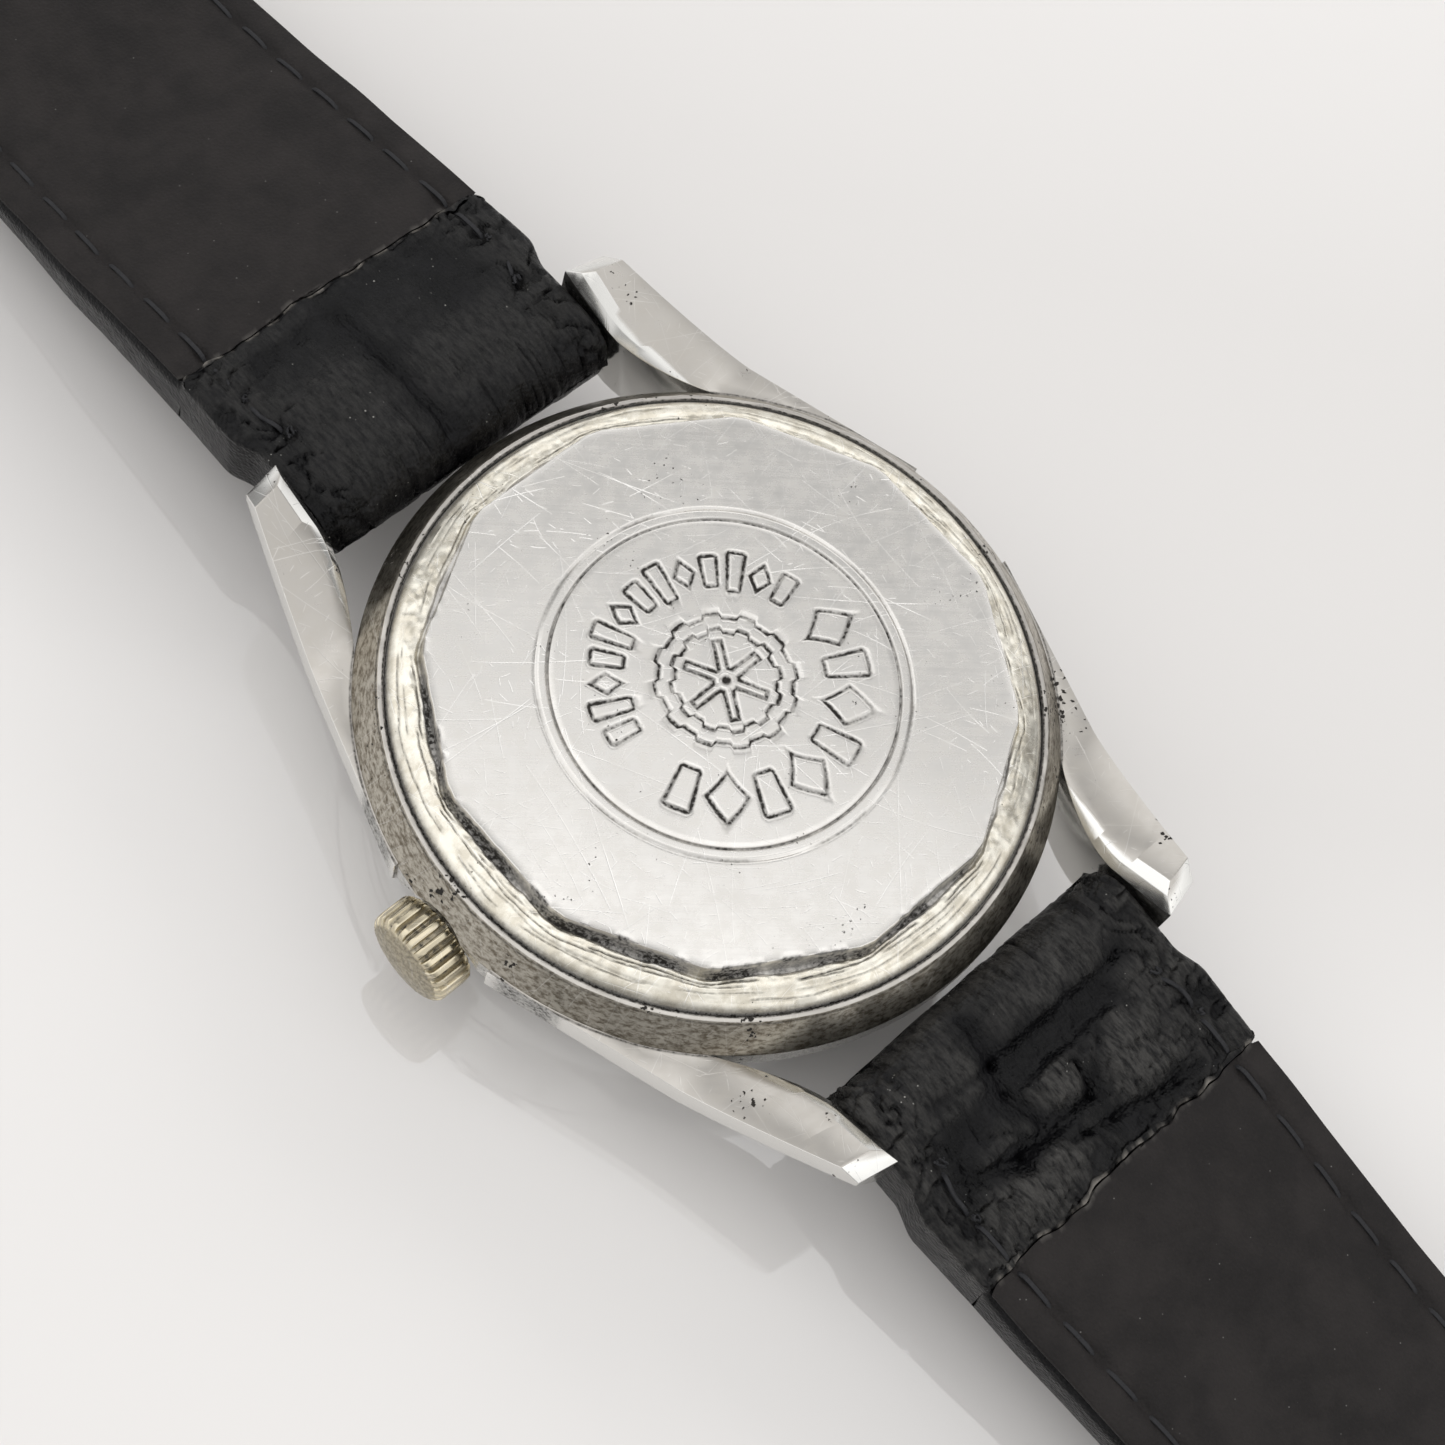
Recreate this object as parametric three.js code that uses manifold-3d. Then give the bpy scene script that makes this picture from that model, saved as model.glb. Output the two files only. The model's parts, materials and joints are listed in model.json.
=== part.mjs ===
// Automatic wristwatch on a leather strap, lying on its crystal.
// Millimetres. Origin: centre of the crystal's flat front face. +Z points out of the case back,
// +Y to the 12 o'clock lugs, -Y to the 6 o'clock lugs and -X to the crown.

import * as THREE from 'three';
import { mergeVertices } from 'three/addons/utils/BufferGeometryUtils.js';
import Module from 'manifold-3d';

const wasm = await Module();
wasm.setup();

// ---------- driving dimensions ----------

const CASE_RADIUS = 17;
const BACK_EDGE_RADIUS = 15.9;
const BACK_FACE_Z = 11;
const CASE_FRONT_Z = 3;
const CASE_BORE = 13.35;
const BOSS_SIDES = 12;
const BOSS_APOTHEM = 13.6;
const BOSS_HEIGHT = 1;

const LUG_INNER_X = 9;
const LUG_ROOT_X = 16.7;
const LUG_ROOT_Y = 3.7;
const LUG_TIP_Y = 21.5;
const LUG_OUTER_SLOPE = 0.323;
const LUG_FLANK = 1.6;
const LUG_TAPER = 0.577;
const LUG_BEND_Y = 12.5;
const LUG_TIP_Z = 11.2;
const LUG_END_SLANT = THREE.MathUtils.degToRad(-31);
const BAR_Y = 19.3;
const BAR_Z = 7.1;
const BAR_RADIUS = 0.85;
const BAR_PIN_RADIUS = 0.5;

const STEM_Z = 5.2;
const STEM_RADIUS = 0.45;
const CROWN_RADIUS = 2.4;
const CROWN_INNER_X = -16.6;
const CROWN_OUTER_X = -18.7;
const CROWN_FLUTES = 24;

const CRYSTAL_RADIUS = 13.6;
const CRYSTAL_FLAT_RADIUS = 10.6;
const DIAL_Z = 3.2;
const DIAL_RADIUS = 12.85;

const PLATE_RADIUS = 12.6;
const PLATE_Z = 4.2;
const PLATE_TOP_Z = 5.6;
const BRIDGE_Z = 7.35;
const BRIDGE_TOP_Z = 8;
const BRIDGE_RADIUS = 12.3;
const ARBOR_RADIUS = 0.15;
const ARBOR_HOLE = 0.2;

const STRAP_END_WIDTH = 17.6;
const STRAP_WIDTH = 18.8;
const STRAP_TAPERED_WIDTH = 16;
const ROLL_RADIUS = 2.15;
const LINING = 0.8;
const LEATHER_GAP = 0.3;
const BUCKLE_BAR_Y = 92;
const BUCKLE_BAR_Z = 4.4;
const BUCKLE_TILT = THREE.MathUtils.degToRad(-15.6);
const LONG_STRAP_TIP_Y = -134;

const ROUND = 32;
const SMALL_ROUND = 20;
const TINY_ROUND = 10;

// ---------- finishes ----------

function finish(color, roughness, metalness) {
  return new THREE.MeshStandardMaterial({ color, roughness, metalness });
}

const steel = finish(0xb9b6b0, 0.35, 1);
const polishedSteel = finish(0xc9c8c5, 0.15, 1);
const wornNickel = finish(0xcfc6a6, 0.3, 1);
const rubber = finish(0x1c1c1c, 0.8, 0);
const acrylic = finish(0xdfe6e8, 0.05, 0);
const silverDial = finish(0xd8d5cc, 0.45, 0.4);
const bluedSteel = finish(0x23304f, 0.25, 1);
const platedBrass = finish(0xcdbd92, 0.35, 1);
const brass = finish(0xc9a24e, 0.3, 1);
const embossedLeather = finish(0x15151a, 0.35, 0);
const liningLeather = finish(0x2a2626, 0.75, 0);

// ---------- geometry helpers ----------

function toManifold(geometry) {
  geometry.deleteAttribute('normal');
  geometry.deleteAttribute('uv');
  const merged = mergeVertices(geometry, 1e-5);
  const corners = merged.index.array;
  const triVerts = [];
  for (let i = 0; i < corners.length; i += 3) {
    const [a, b, c] = [corners[i], corners[i + 1], corners[i + 2]];
    if (a !== b && b !== c && c !== a) triVerts.push(a, b, c);
  }
  return new wasm.Manifold(new wasm.Mesh({
    numProp: 3,
    vertProperties: new Float32Array(merged.attributes.position.array),
    triVerts: new Uint32Array(triVerts),
  }));
}

function toGeometry(manifold) {
  const { vertProperties, triVerts } = manifold.getMesh();
  const geometry = new THREE.BufferGeometry();
  geometry.setAttribute('position', new THREE.BufferAttribute(vertProperties, 3));
  geometry.setIndex(new THREE.BufferAttribute(triVerts, 1));
  return geometry;
}

function join(...geometries) {
  return toGeometry(geometries.map(toManifold).reduce((a, b) => a.add(b)));
}

function cut(base, ...tools) {
  return toGeometry(tools.map(toManifold).reduce((a, b) => a.subtract(b), toManifold(base)));
}

function common(a, b) {
  return toGeometry(toManifold(a).intersect(toManifold(b)));
}

// A turned solid about Z. The profile is a list of [radius, z], anticlockwise, and is closed
// here unless it starts and ends on the axis.
function turned(profile, segments = ROUND) {
  const points = profile.map(([r, z]) => new THREE.Vector2(r, z));
  if (points[0].x > 0) points.push(points[0].clone());
  return new THREE.LatheGeometry(points, segments).rotateX(Math.PI / 2);
}

function rod(radius, z0, z1, segments = TINY_ROUND) {
  return turned([[0, z0], [radius, z0], [radius, z1], [0, z1]], segments);
}

function ring(inner, outer, z0, z1, segments = SMALL_ROUND) {
  return turned([[inner, z0], [outer, z0], [outer, z1], [inner, z1]], segments);
}

// A plate with the given outline in X and Y, from z0 up to z1.
function plate(outline, z0, z1) {
  const depth = z1 - z0;
  return new THREE.ExtrudeGeometry(outlineShape(outline), { depth, bevelEnabled: false }).translate(0, 0, z0);
}

function outlineShape(points) {
  return new THREE.Shape(points.map(([x, y]) => new THREE.Vector2(x, y)));
}

// A bar whose side view is the given list of [y, z], from x0 to x1.
function sideBar(profile, x0, x1) {
  const shape = outlineShape(profile);
  const geometry = new THREE.ExtrudeGeometry(shape, { depth: x1 - x0, bevelEnabled: false });
  // shape x -> world y, shape y -> world z, depth -> world x
  const turn = new THREE.Matrix4().makeBasis(
    new THREE.Vector3(0, 1, 0), new THREE.Vector3(0, 0, 1), new THREE.Vector3(1, 0, 0),
  );
  return geometry.applyMatrix4(turn).translate(x0, 0, 0);
}

function box(x0, x1, y0, y1, z0, z1) {
  const geometry = new THREE.BoxGeometry(x1 - x0, y1 - y0, z1 - z0);
  return geometry.translate((x0 + x1) / 2, (y0 + y1) / 2, (z0 + z1) / 2);
}

// A solid through a row of sections with the same number of points, each turning the same way.
function loft(sections) {
  const count = sections[0].length;
  const position = sections.flat(2);
  const index = [];
  for (let s = 0; s + 1 < sections.length; s += 1) {
    for (let i = 0; i < count; i += 1) {
      const next = (i + 1) % count;
      const [a, b, c, d] = [s * count + i, s * count + next, (s + 1) * count + next, (s + 1) * count + i];
      index.push(a, d, c, a, c, b);
    }
  }
  const last = (sections.length - 1) * count;
  for (let i = 1; i + 1 < count; i += 1) {
    index.push(0, i, i + 1);
    index.push(last, last + i + 1, last + i);
  }
  const geometry = new THREE.BufferGeometry();
  geometry.setAttribute('position', new THREE.Float32BufferAttribute(position, 3));
  geometry.setIndex(index);
  return geometry;
}

// A copy mirrored across X or Y where the sign is negative, with its faces still pointing out.
function mirrored(geometry, signX, signY) {
  const copy = geometry.clone().scale(signX, signY, 1);
  if (signX * signY < 0) copy.setIndex([...copy.index.array].reverse());
  return copy;
}

// Lays a solid made about Z along X, with its axis at the given y and z.
function alongX(geometry, y = 0, z = STEM_Z) {
  return geometry.rotateY(Math.PI / 2).translate(0, y, z);
}

// A point on a circle, measured from +X.
function polar(radius, degrees, [x, y] = [0, 0]) {
  const angle = THREE.MathUtils.degToRad(degrees);
  return [x + radius * Math.cos(angle), y + radius * Math.sin(angle)];
}

function directionTo([x, y], [toX, toY]) {
  return THREE.MathUtils.radToDeg(Math.atan2(toY - y, toX - x));
}

// A toothed wheel about Z. A tooth points at toothAt degrees.
function gear(teeth, pitchRadius, z0, z1, toothAt = 0) {
  const addendum = 1.6 * pitchRadius / teeth;
  const dedendum = 2.2 * pitchRadius / teeth;
  const outline = [];
  for (let i = 0; i < teeth; i += 1) {
    outline.push(polar(pitchRadius + addendum, toothAt + 360 * i / teeth));
    outline.push(polar(pitchRadius - dedendum, toothAt + 360 * (i + 0.5) / teeth));
  }
  return plate(outline, z0, z1);
}

// A flat spiral strip from the inner to the outer radius.
function spiral(inner, outer, turns, width, z0, z1) {
  const stepsPerTurn = 10;
  const steps = turns * stepsPerTurn;
  const inside = [];
  const outside = [];
  for (let i = 0; i <= steps; i += 1) {
    const radius = inner + (outer - inner) * i / steps;
    inside.push(polar(radius, 360 * i / stepsPerTurn));
    outside.push(polar(radius + width, 360 * i / stepsPerTurn));
  }
  return plate([...outside, ...inside.reverse()], z0, z1);
}

const watch = new THREE.Group();

function add(name, material, geometry, group = watch) {
  const mesh = new THREE.Mesh(toGeometry(toManifold(geometry)), material);
  mesh.name = name;
  group.add(mesh);
  return mesh;
}

// Adds a piece made about its own Z axis, standing at [x, y].
function addAt([x, y], name, material, geometry) {
  add(name, material, geometry).position.set(x, y, 0);
}

// ---------- case ----------

// Heights of a lug's back and front faces at a distance y from the case centre.
function lugBackZ(y) {
  const rise = Math.max(0, (y - LUG_BEND_Y) / (LUG_TIP_Y - LUG_BEND_Y));
  return 7.9 + (LUG_TIP_Z - 7.9) * rise ** 1.3;
}

function lugFrontZ(y) {
  const rise = Math.max(0, (y - LUG_BEND_Y) / (LUG_TIP_Y - LUG_BEND_Y));
  return 3.4 + 3.4 * rise ** 2;
}

// Inner edge of a lug: straight beside the strap, flaring out toward the case.
function lugInnerX(y) {
  const flare = Math.max(0, (18 - y) / 5);
  return Math.min(LUG_INNER_X + 2.2 * flare ** 1.5, 13);
}

// Section across the lug at +X +Y: a short upright flank below the back face, then an inward taper.
function lugSection(y) {
  const outer = LUG_ROOT_X - LUG_OUTER_SLOPE * (y - LUG_ROOT_Y);
  const inner = lugInnerX(y);
  const [back, front] = [lugBackZ(y), lugFrontZ(y)];
  const flankEnd = back - LUG_FLANK;
  const frontX = Math.max(outer - LUG_TAPER * (flankEnd - front), inner + 0.3);
  return [
    [inner, y, front], [frontX, y, front], [outer, y, flankEnd], [outer, y, back], [inner, y, back],
  ];
}

// A block with one face turned across the lug's end and leaning back by tilt, for trimming.
function lugEndTool(tilt, y, z) {
  const block = box(-10, 10, 0, 8, -12, 12);
  return block.rotateX(tilt).rotateZ(LUG_END_SLANT).translate(LUG_INNER_X, y, z);
}

function lugs() {
  const stations = [3.2, 6, 9, 11, 12.5, 13.5, 14.5, 15.5, 16.5, 17.3, 18, 19, 20, 21, 22];
  const body = loft(stations.map(lugSection));
  const facetTilt = THREE.MathUtils.degToRad(48);
  const lug = cut(body, lugEndTool(0, LUG_TIP_Y, 9), lugEndTool(facetTilt, LUG_TIP_Y - 0.55, LUG_TIP_Z - 0.35));
  const sides = [[1, 1], [-1, 1], [1, -1], [-1, -1]];
  return sides.map(([sx, sy]) => mirrored(lug, sx, sy));
}

function springBarHoles() {
  return [BAR_Y, -BAR_Y].map((y) => alongX(rod(0.55, -10, 10), y, BAR_Z));
}

function midCase() {
  const shell = turned([
    [CASE_BORE, CASE_FRONT_Z], [15.2, CASE_FRONT_Z], [16.85, 6.2], [CASE_RADIUS, 6.6],
    [CASE_RADIUS, 7.8], [16.9, 7.95], [BACK_EDGE_RADIUS, 9.4], [15.65, 9.4],
    [15.65, 9.05], [14.5, 9.05], [14.5, 7.9], [CASE_BORE, 7.9],
  ]);
  const inside = rod(14.5, 1, 13, ROUND);
  const horns = lugs().map((lug) => cut(lug, inside));
  const crownRecess = alongX(rod(3, -20, -16.3, SMALL_ROUND));
  const tubeHole = alongX(rod(0.95, -18, -12));
  return cut(join(shell, ...horns), crownRecess, tubeHole, ...springBarHoles());
}

function caseBack() {
  const dish = turned([
    [0, 10], [13.3, 10], [13.5, 8.4], [14.35, 8.4], [14.4, 9.15], [15.6, 9.15],
    [15.55, 9.35], [15.3, 9.65], [14.4, 9.95], [13.9, 10], [0, 10.1],
  ]);
  const corner = BOSS_APOTHEM / Math.cos(Math.PI / BOSS_SIDES);
  const corners = [];
  for (let i = 0; i < BOSS_SIDES; i += 1) corners.push(polar(corner, 360 * (i + 0.5) / BOSS_SIDES));
  return join(dish, plate(corners, BACK_FACE_Z - BOSS_HEIGHT, BACK_FACE_Z));
}

function crown() {
  const outline = [];
  for (let i = 0; i < CROWN_FLUTES; i += 1) {
    outline.push(polar(CROWN_RADIUS, 360 * (i - 0.22) / CROWN_FLUTES));
    outline.push(polar(CROWN_RADIUS, 360 * (i + 0.22) / CROWN_FLUTES));
    outline.push(polar(CROWN_RADIUS - 0.22, 360 * (i + 0.5) / CROWN_FLUTES));
  }
  const grip = plate(outline, CROWN_OUTER_X, CROWN_INNER_X);
  const cap = turned([
    [0, CROWN_OUTER_X - 0.35], [1.3, CROWN_OUTER_X - 0.25], [2.1, CROWN_OUTER_X],
    [2.1, CROWN_OUTER_X + 0.2], [0, CROWN_OUTER_X + 0.2],
  ], SMALL_ROUND);
  return alongX(cut(join(grip, cap), rod(1, -17.9, -16, SMALL_ROUND)));
}

add('mid_case', steel, midCase());
add('case_back', steel, caseBack());
add('case_back_gasket', rubber, ring(14.6, 15.5, 9.07, 9.13, ROUND));
add('bezel', polishedSteel, turned([
  [14, 1.2], [14.5, 1], [15.2, 1.6], [15.5, 2.5], [15.5, 2.95], [14, 2.95],
]));
add('crystal', acrylic, turned([
  [0, 0], [CRYSTAL_FLAT_RADIUS, 0], [12.9, 0.7], [CRYSTAL_RADIUS, 1.5], [CRYSTAL_RADIUS, 2.8],
  [13, 2.8], [13, 1.9], [12, 1.5], [0, 1.4],
]));
add('crystal_gasket', rubber, ring(13.65, 13.95, 1.5, 2.8, ROUND));
add('crown', wornNickel, crown());
add('crown_tube', steel, alongX(ring(0.55, 0.9, -17.4, -13.4)));
add('winding_stem', steel, alongX(rod(STEM_RADIUS, -17.9, -7.3)));
for (const [name, y] of [['spring_bar_12', BAR_Y], ['spring_bar_6', -BAR_Y]]) {
  add(name, steel, alongX(join(rod(BAR_RADIUS, -8.85, 8.85), rod(BAR_PIN_RADIUS, -9.7, 9.7)), y, BAR_Z));
}

// ---------- dial and hands ----------

function dial() {
  const disc = ring(1, DIAL_RADIUS, DIAL_Z, DIAL_Z + 0.3, ROUND);
  const markers = [];
  for (let hour = 0; hour < 12; hour += 1) {
    const halfWidth = hour === 0 ? 0.55 : 0.28;
    const marker = box(-halfWidth, halfWidth, 9.2, 11.4, DIAL_Z - 0.2, DIAL_Z + 0.1);
    markers.push(marker.rotateZ(Math.PI * hour / 6));
  }
  return join(disc, ...markers);
}

// A pointer with a hub, from its tail at -tail to its tip at length along +Y.
function hand(length, tail, halfWidth, hub, hole, z0, z1) {
  const blade = [
    [0, length], [-halfWidth, length * 0.3], [-halfWidth, -tail], [halfWidth, -tail], [halfWidth, length * 0.3],
  ];
  const shape = join(plate(blade, z0, z1), rod(hub, z0, z1, SMALL_ROUND));
  return hole ? cut(shape, rod(hole, z0 - 1, z1 + 1)) : shape;
}

// Angles run clockwise as seen from the front: 3 o'clock is at -X, so they are positive about +Z.
const HOUR_HAND_ANGLE = THREE.MathUtils.degToRad(305);
const MINUTE_HAND_ANGLE = THREE.MathUtils.degToRad(60);
const SECONDS_HAND_ANGLE = THREE.MathUtils.degToRad(180);

add('dial', silverDial, dial());
add('dial_ring', silverDial, turned([[12.25, 1.9], [12.95, 1.9], [12.95, 3.15], [11.9, 3.15]]));
add('hour_hand', bluedSteel, hand(7.2, 1.6, 0.55, 1.1, 0.64, 2.57, 2.7)).rotation.z = HOUR_HAND_ANGLE;
add('minute_hand', bluedSteel, hand(10.4, 2, 0.4, 0.9, 0.15, 2.22, 2.35)).rotation.z = MINUTE_HAND_ANGLE;
add('seconds_hand', bluedSteel, hand(11.2, 3.2, 0.14, 0.5, 0, 1.87, 1.99)).rotation.z = SECONDS_HAND_ANGLE;

// ---------- movement layout ----------

// Tooth counts give the ratios: 60 between the seconds and the minute hand, 12 to the hour hand,
// 6 from the barrel to the centre pinion and 10 from the fourth wheel to the escape pinion.
const CENTRE = [0, 0];
const BARREL_TEETH = 60;
const CENTRE_PINION_TEETH = 10;
const CENTRE_WHEEL_TEETH = 64;
const THIRD_PINION_TEETH = 8;
const THIRD_WHEEL_TEETH = 60;
const FOURTH_PINION_TEETH = 8;
const FOURTH_WHEEL_TEETH = 60;
const ESCAPE_PINION_TEETH = 6;
const CANNON_TEETH = 10;
const MINUTE_WHEEL_TEETH = 30;
const MINUTE_PINION_TEETH = 8;
const HOUR_WHEEL_TEETH = 32;
const RATCHET_TEETH = 36;
const CROWN_WHEEL_TEETH = 24;

const BARREL_DISTANCE = 6.1;
const THIRD_DISTANCE = 3.8;
const ESCAPE_DISTANCE = 4;
const MOTION_DISTANCE = 2.72;
const CROWN_WHEEL_DISTANCE = 6.44;

const BARREL = polar(BARREL_DISTANCE, 115);
const THIRD = polar(THIRD_DISTANCE, 215);
const ESCAPE = polar(ESCAPE_DISTANCE, 290);
const BALANCE = [6.4, -5.5];
const MOTION = polar(MOTION_DISTANCE, 30);
const CROWN_WHEEL = [-7.9, 1.9];
const PALLET = polar(2.2, directionTo(ESCAPE, BALANCE), ESCAPE);
const CLICK = polar(5.3, 35, BARREL);
const CLAMPS = [60, 240].map((degrees) => polar(12.2, degrees));

// The two pitch radii of a meshing pair on the given centre distance.
function pitchRadii(distance, teeth, otherTeeth) {
  const unit = distance / (teeth + otherTeeth);
  return [teeth * unit, otherTeeth * unit];
}

// Turns a gear so that a gap between two of its teeth faces the given direction.
function gapAt(degrees, teeth) {
  return degrees + 180 / teeth;
}

function hole([x, y], radius, z0, z1) {
  return rod(radius, z0, z1).translate(x, y, 0);
}

// ---------- plates and bridges ----------

function mainPlate() {
  const disc = rod(PLATE_RADIUS, PLATE_Z, PLATE_TOP_Z, ROUND);
  const wall = ring(11.9, PLATE_RADIUS, PLATE_TOP_Z - 0.1, BRIDGE_Z, ROUND);
  const motionPost = rod(0.2, 3.56, PLATE_Z + 0.1).translate(...MOTION, 0);
  const barrelPocket = hole(BARREL, 5.45, 4.5, 8);
  const keylessSlot = box(-13, -6.7, -1.15, 1.15, 4, 6.3);
  const pivots = [THIRD, ESCAPE, BALANCE, PALLET].map((place) => hole(place, ARBOR_HOLE, 4, 6));
  const screwHoles = CLAMPS.map((place) => hole(place, 0.28, 6.2, 8));
  const others = [hole(CENTRE, 0.42, 4, 6), hole(BARREL, 0.65, 4, 6), ...screwHoles];
  return cut(join(disc, wall, motionPost), barrelPocket, keylessSlot, ...pivots, ...others);
}

// The part of the bridge disc inside the outline, cleared for the clamps and the given pivots.
function bridge(outline, holes) {
  const disc = rod(BRIDGE_RADIUS, BRIDGE_Z, BRIDGE_TOP_Z, ROUND);
  const area = plate(outline, BRIDGE_Z - 1, BRIDGE_TOP_Z + 1);
  const clearances = CLAMPS.map((place) => hole(place, 1.1, 7, 9));
  return cut(common(disc, area), ...clearances, ...holes);
}

function barrelBridge() {
  const outline = [[-13, 1.3], [-6, 0.6], [-2, 1.3], [13, 1.3], [13, 13], [-13, 13]];
  const crownWheelSeat = rod(2.25, 6, 9, SMALL_ROUND).translate(...CROWN_WHEEL, 0);
  const clickPost = rod(0.18, BRIDGE_TOP_Z - 0.1, BRIDGE_TOP_Z + 0.25).translate(...CLICK, 0);
  return join(bridge(outline, [crownWheelSeat, hole(BARREL, 0.65, 7, 9)]), clickPost);
}

function trainBridge() {
  const outline = [[-13, -13], [2.6, -13], [2.6, 1], [-2, 1], [-5.5, -0.7], [-13, -0.7]];
  return bridge(outline, [CENTRE, THIRD, ESCAPE].map((place) => hole(place, ARBOR_HOLE, 7, 7.8)));
}

function balanceCock() {
  const outline = [[5.2, -5.2], [6.8, -4], [12, -8], [9, -11.5]];
  return bridge(outline, [hole(BALANCE, ARBOR_HOLE, 7, 7.8)]);
}

function movementRing() {
  const band = ring(12.65, 13.3, 3.55, BRIDGE_Z, ROUND);
  const stemSlot = box(-14, -12, -1, 1, 4, 6.4);
  return cut(band, stemSlot);
}

add('movement_ring', steel, movementRing());
add('main_plate', platedBrass, mainPlate());
add('barrel_bridge', platedBrass, barrelBridge());
add('train_bridge', platedBrass, trainBridge());
add('balance_cock', platedBrass, balanceCock());
CLAMPS.forEach((place, i) => {
  const screw = join(rod(0.24, 6.4, 7.45), rod(0.95, 7.4, 7.65, SMALL_ROUND));
  addAt(place, `case_clamp_screw_${i + 1}`, polishedSteel, screw);
});

// ---------- going train ----------

function barrelDrum() {
  const [pitch] = pitchRadii(BARREL_DISTANCE, BARREL_TEETH, CENTRE_PINION_TEETH);
  const floor = gear(BARREL_TEETH, pitch, 5.8, 6, 115 - 180);
  return cut(join(floor, ring(4.75, 5, 4.6, 5.9)), rod(0.65, 5, 7));
}

function centreWheel() {
  const [, pinionPitch] = pitchRadii(BARREL_DISTANCE, BARREL_TEETH, CENTRE_PINION_TEETH);
  const [wheelPitch] = pitchRadii(THIRD_DISTANCE, CENTRE_WHEEL_TEETH, THIRD_PINION_TEETH);
  const pinion = gear(CENTRE_PINION_TEETH, pinionPitch, 5.75, 6.27, gapAt(115, CENTRE_PINION_TEETH));
  const wheel = gear(CENTRE_WHEEL_TEETH, wheelPitch, 6.25, 6.37, 215);
  return cut(join(rod(0.36, 2.4, 6.42), pinion, wheel), rod(0.17, 1, 8));
}

// A wheel and its pinion on one arbor.
function arborWith(z0, z1, ...gears) {
  return join(rod(ARBOR_RADIUS, z0, z1), ...gears);
}

function thirdWheel() {
  const [, pinionPitch] = pitchRadii(THIRD_DISTANCE, CENTRE_WHEEL_TEETH, THIRD_PINION_TEETH);
  const [wheelPitch] = pitchRadii(THIRD_DISTANCE, THIRD_WHEEL_TEETH, FOURTH_PINION_TEETH);
  return arborWith(
    5.2, 7.7,
    gear(THIRD_PINION_TEETH, pinionPitch, 6.15, 6.62, gapAt(215 - 180, THIRD_PINION_TEETH)),
    gear(THIRD_WHEEL_TEETH, wheelPitch, 6.6, 6.72, 215 - 180),
  );
}

function fourthWheel() {
  const [, pinionPitch] = pitchRadii(THIRD_DISTANCE, THIRD_WHEEL_TEETH, FOURTH_PINION_TEETH);
  const [wheelPitch] = pitchRadii(ESCAPE_DISTANCE, FOURTH_WHEEL_TEETH, ESCAPE_PINION_TEETH);
  return join(
    rod(0.12, 2, 7.7),
    gear(FOURTH_PINION_TEETH, pinionPitch, 6.5, 6.97, gapAt(215, FOURTH_PINION_TEETH)),
    gear(FOURTH_WHEEL_TEETH, wheelPitch, 6.95, 7.07, 290),
  );
}

function escapeWheel() {
  const [, pinionPitch] = pitchRadii(ESCAPE_DISTANCE, FOURTH_WHEEL_TEETH, ESCAPE_PINION_TEETH);
  return arborWith(
    5.2, 7.7,
    gear(ESCAPE_PINION_TEETH, pinionPitch, 6.87, 7.15, gapAt(290 - 180, ESCAPE_PINION_TEETH)),
    gear(15, 1.5, 5.75, 5.87),
  );
}

// The lever points from the pallet arbor to the balance; its two arms reach round the escape wheel.
function palletFork() {
  const lever = plate([[-0.2, -0.12], [2.6, -0.08], [2.6, 0.08], [-0.2, 0.12]], 5.95, 6.07);
  const arms = plate([[-0.7, 1], [-0.45, 1.05], [0.25, 0], [-0.45, -1.05], [-0.7, -1], [-0.2, 0]], 5.95, 6.07);
  const turn = THREE.MathUtils.degToRad(directionTo(ESCAPE, BALANCE));
  return join(rod(ARBOR_RADIUS, 5.2, 6.15), lever, arms).rotateZ(turn);
}

function balanceWheel() {
  const rim = ring(2.9, 3.3, 6.4, 6.7, 24);
  const spokes = box(-3, 3, -0.18, 0.18, 6.45, 6.6);
  return join(rim, spokes, rod(0.4, 6.35, 6.7), rod(ARBOR_RADIUS, 5.2, 7.7), rod(0.34, 5.9, 6.2));
}

addAt(BARREL, 'mainspring_barrel', brass, barrelDrum());
addAt(BARREL, 'mainspring', polishedSteel, spiral(1.2, 4.4, 4, 0.14, 4.75, 5.7));
addAt(BARREL, 'barrel_arbor', polishedSteel, join(rod(0.6, 4.25, 8.3), rod(1.05, 4.75, 5.7)));
add('centre_wheel', brass, centreWheel());
addAt(THIRD, 'third_wheel', brass, thirdWheel());
add('fourth_wheel', brass, fourthWheel());
addAt(ESCAPE, 'escape_wheel', brass, escapeWheel());
addAt(PALLET, 'pallet_fork', polishedSteel, palletFork());
addAt(BALANCE, 'balance_wheel', brass, balanceWheel());
const hairspring = join(spiral(0.4, 2.3, 3, 0.1, 7, 7.15), ring(0.2, 0.46, 7, 7.15));
addAt(BALANCE, 'hairspring', bluedSteel, hairspring);

// ---------- motion work, winding and keyless work ----------

function hourWheel() {
  const [, pitch] = pitchRadii(MOTION_DISTANCE, MINUTE_PINION_TEETH, HOUR_WHEEL_TEETH);
  const wheel = gear(HOUR_WHEEL_TEETH, pitch, 3.58, 3.72, gapAt(30, HOUR_WHEEL_TEETH));
  return cut(join(wheel, rod(0.9, 2.72, 3.6, SMALL_ROUND)), rod(0.66, 1, 5, SMALL_ROUND));
}

function cannonPinion() {
  const [pitch] = pitchRadii(MOTION_DISTANCE, CANNON_TEETH, MINUTE_WHEEL_TEETH);
  const teeth = gear(CANNON_TEETH, pitch, 3.8, 4.1, 30);
  return cut(join(teeth, rod(0.6, 2.4, 3.85, SMALL_ROUND)), rod(0.4, 1, 5, SMALL_ROUND));
}

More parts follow.
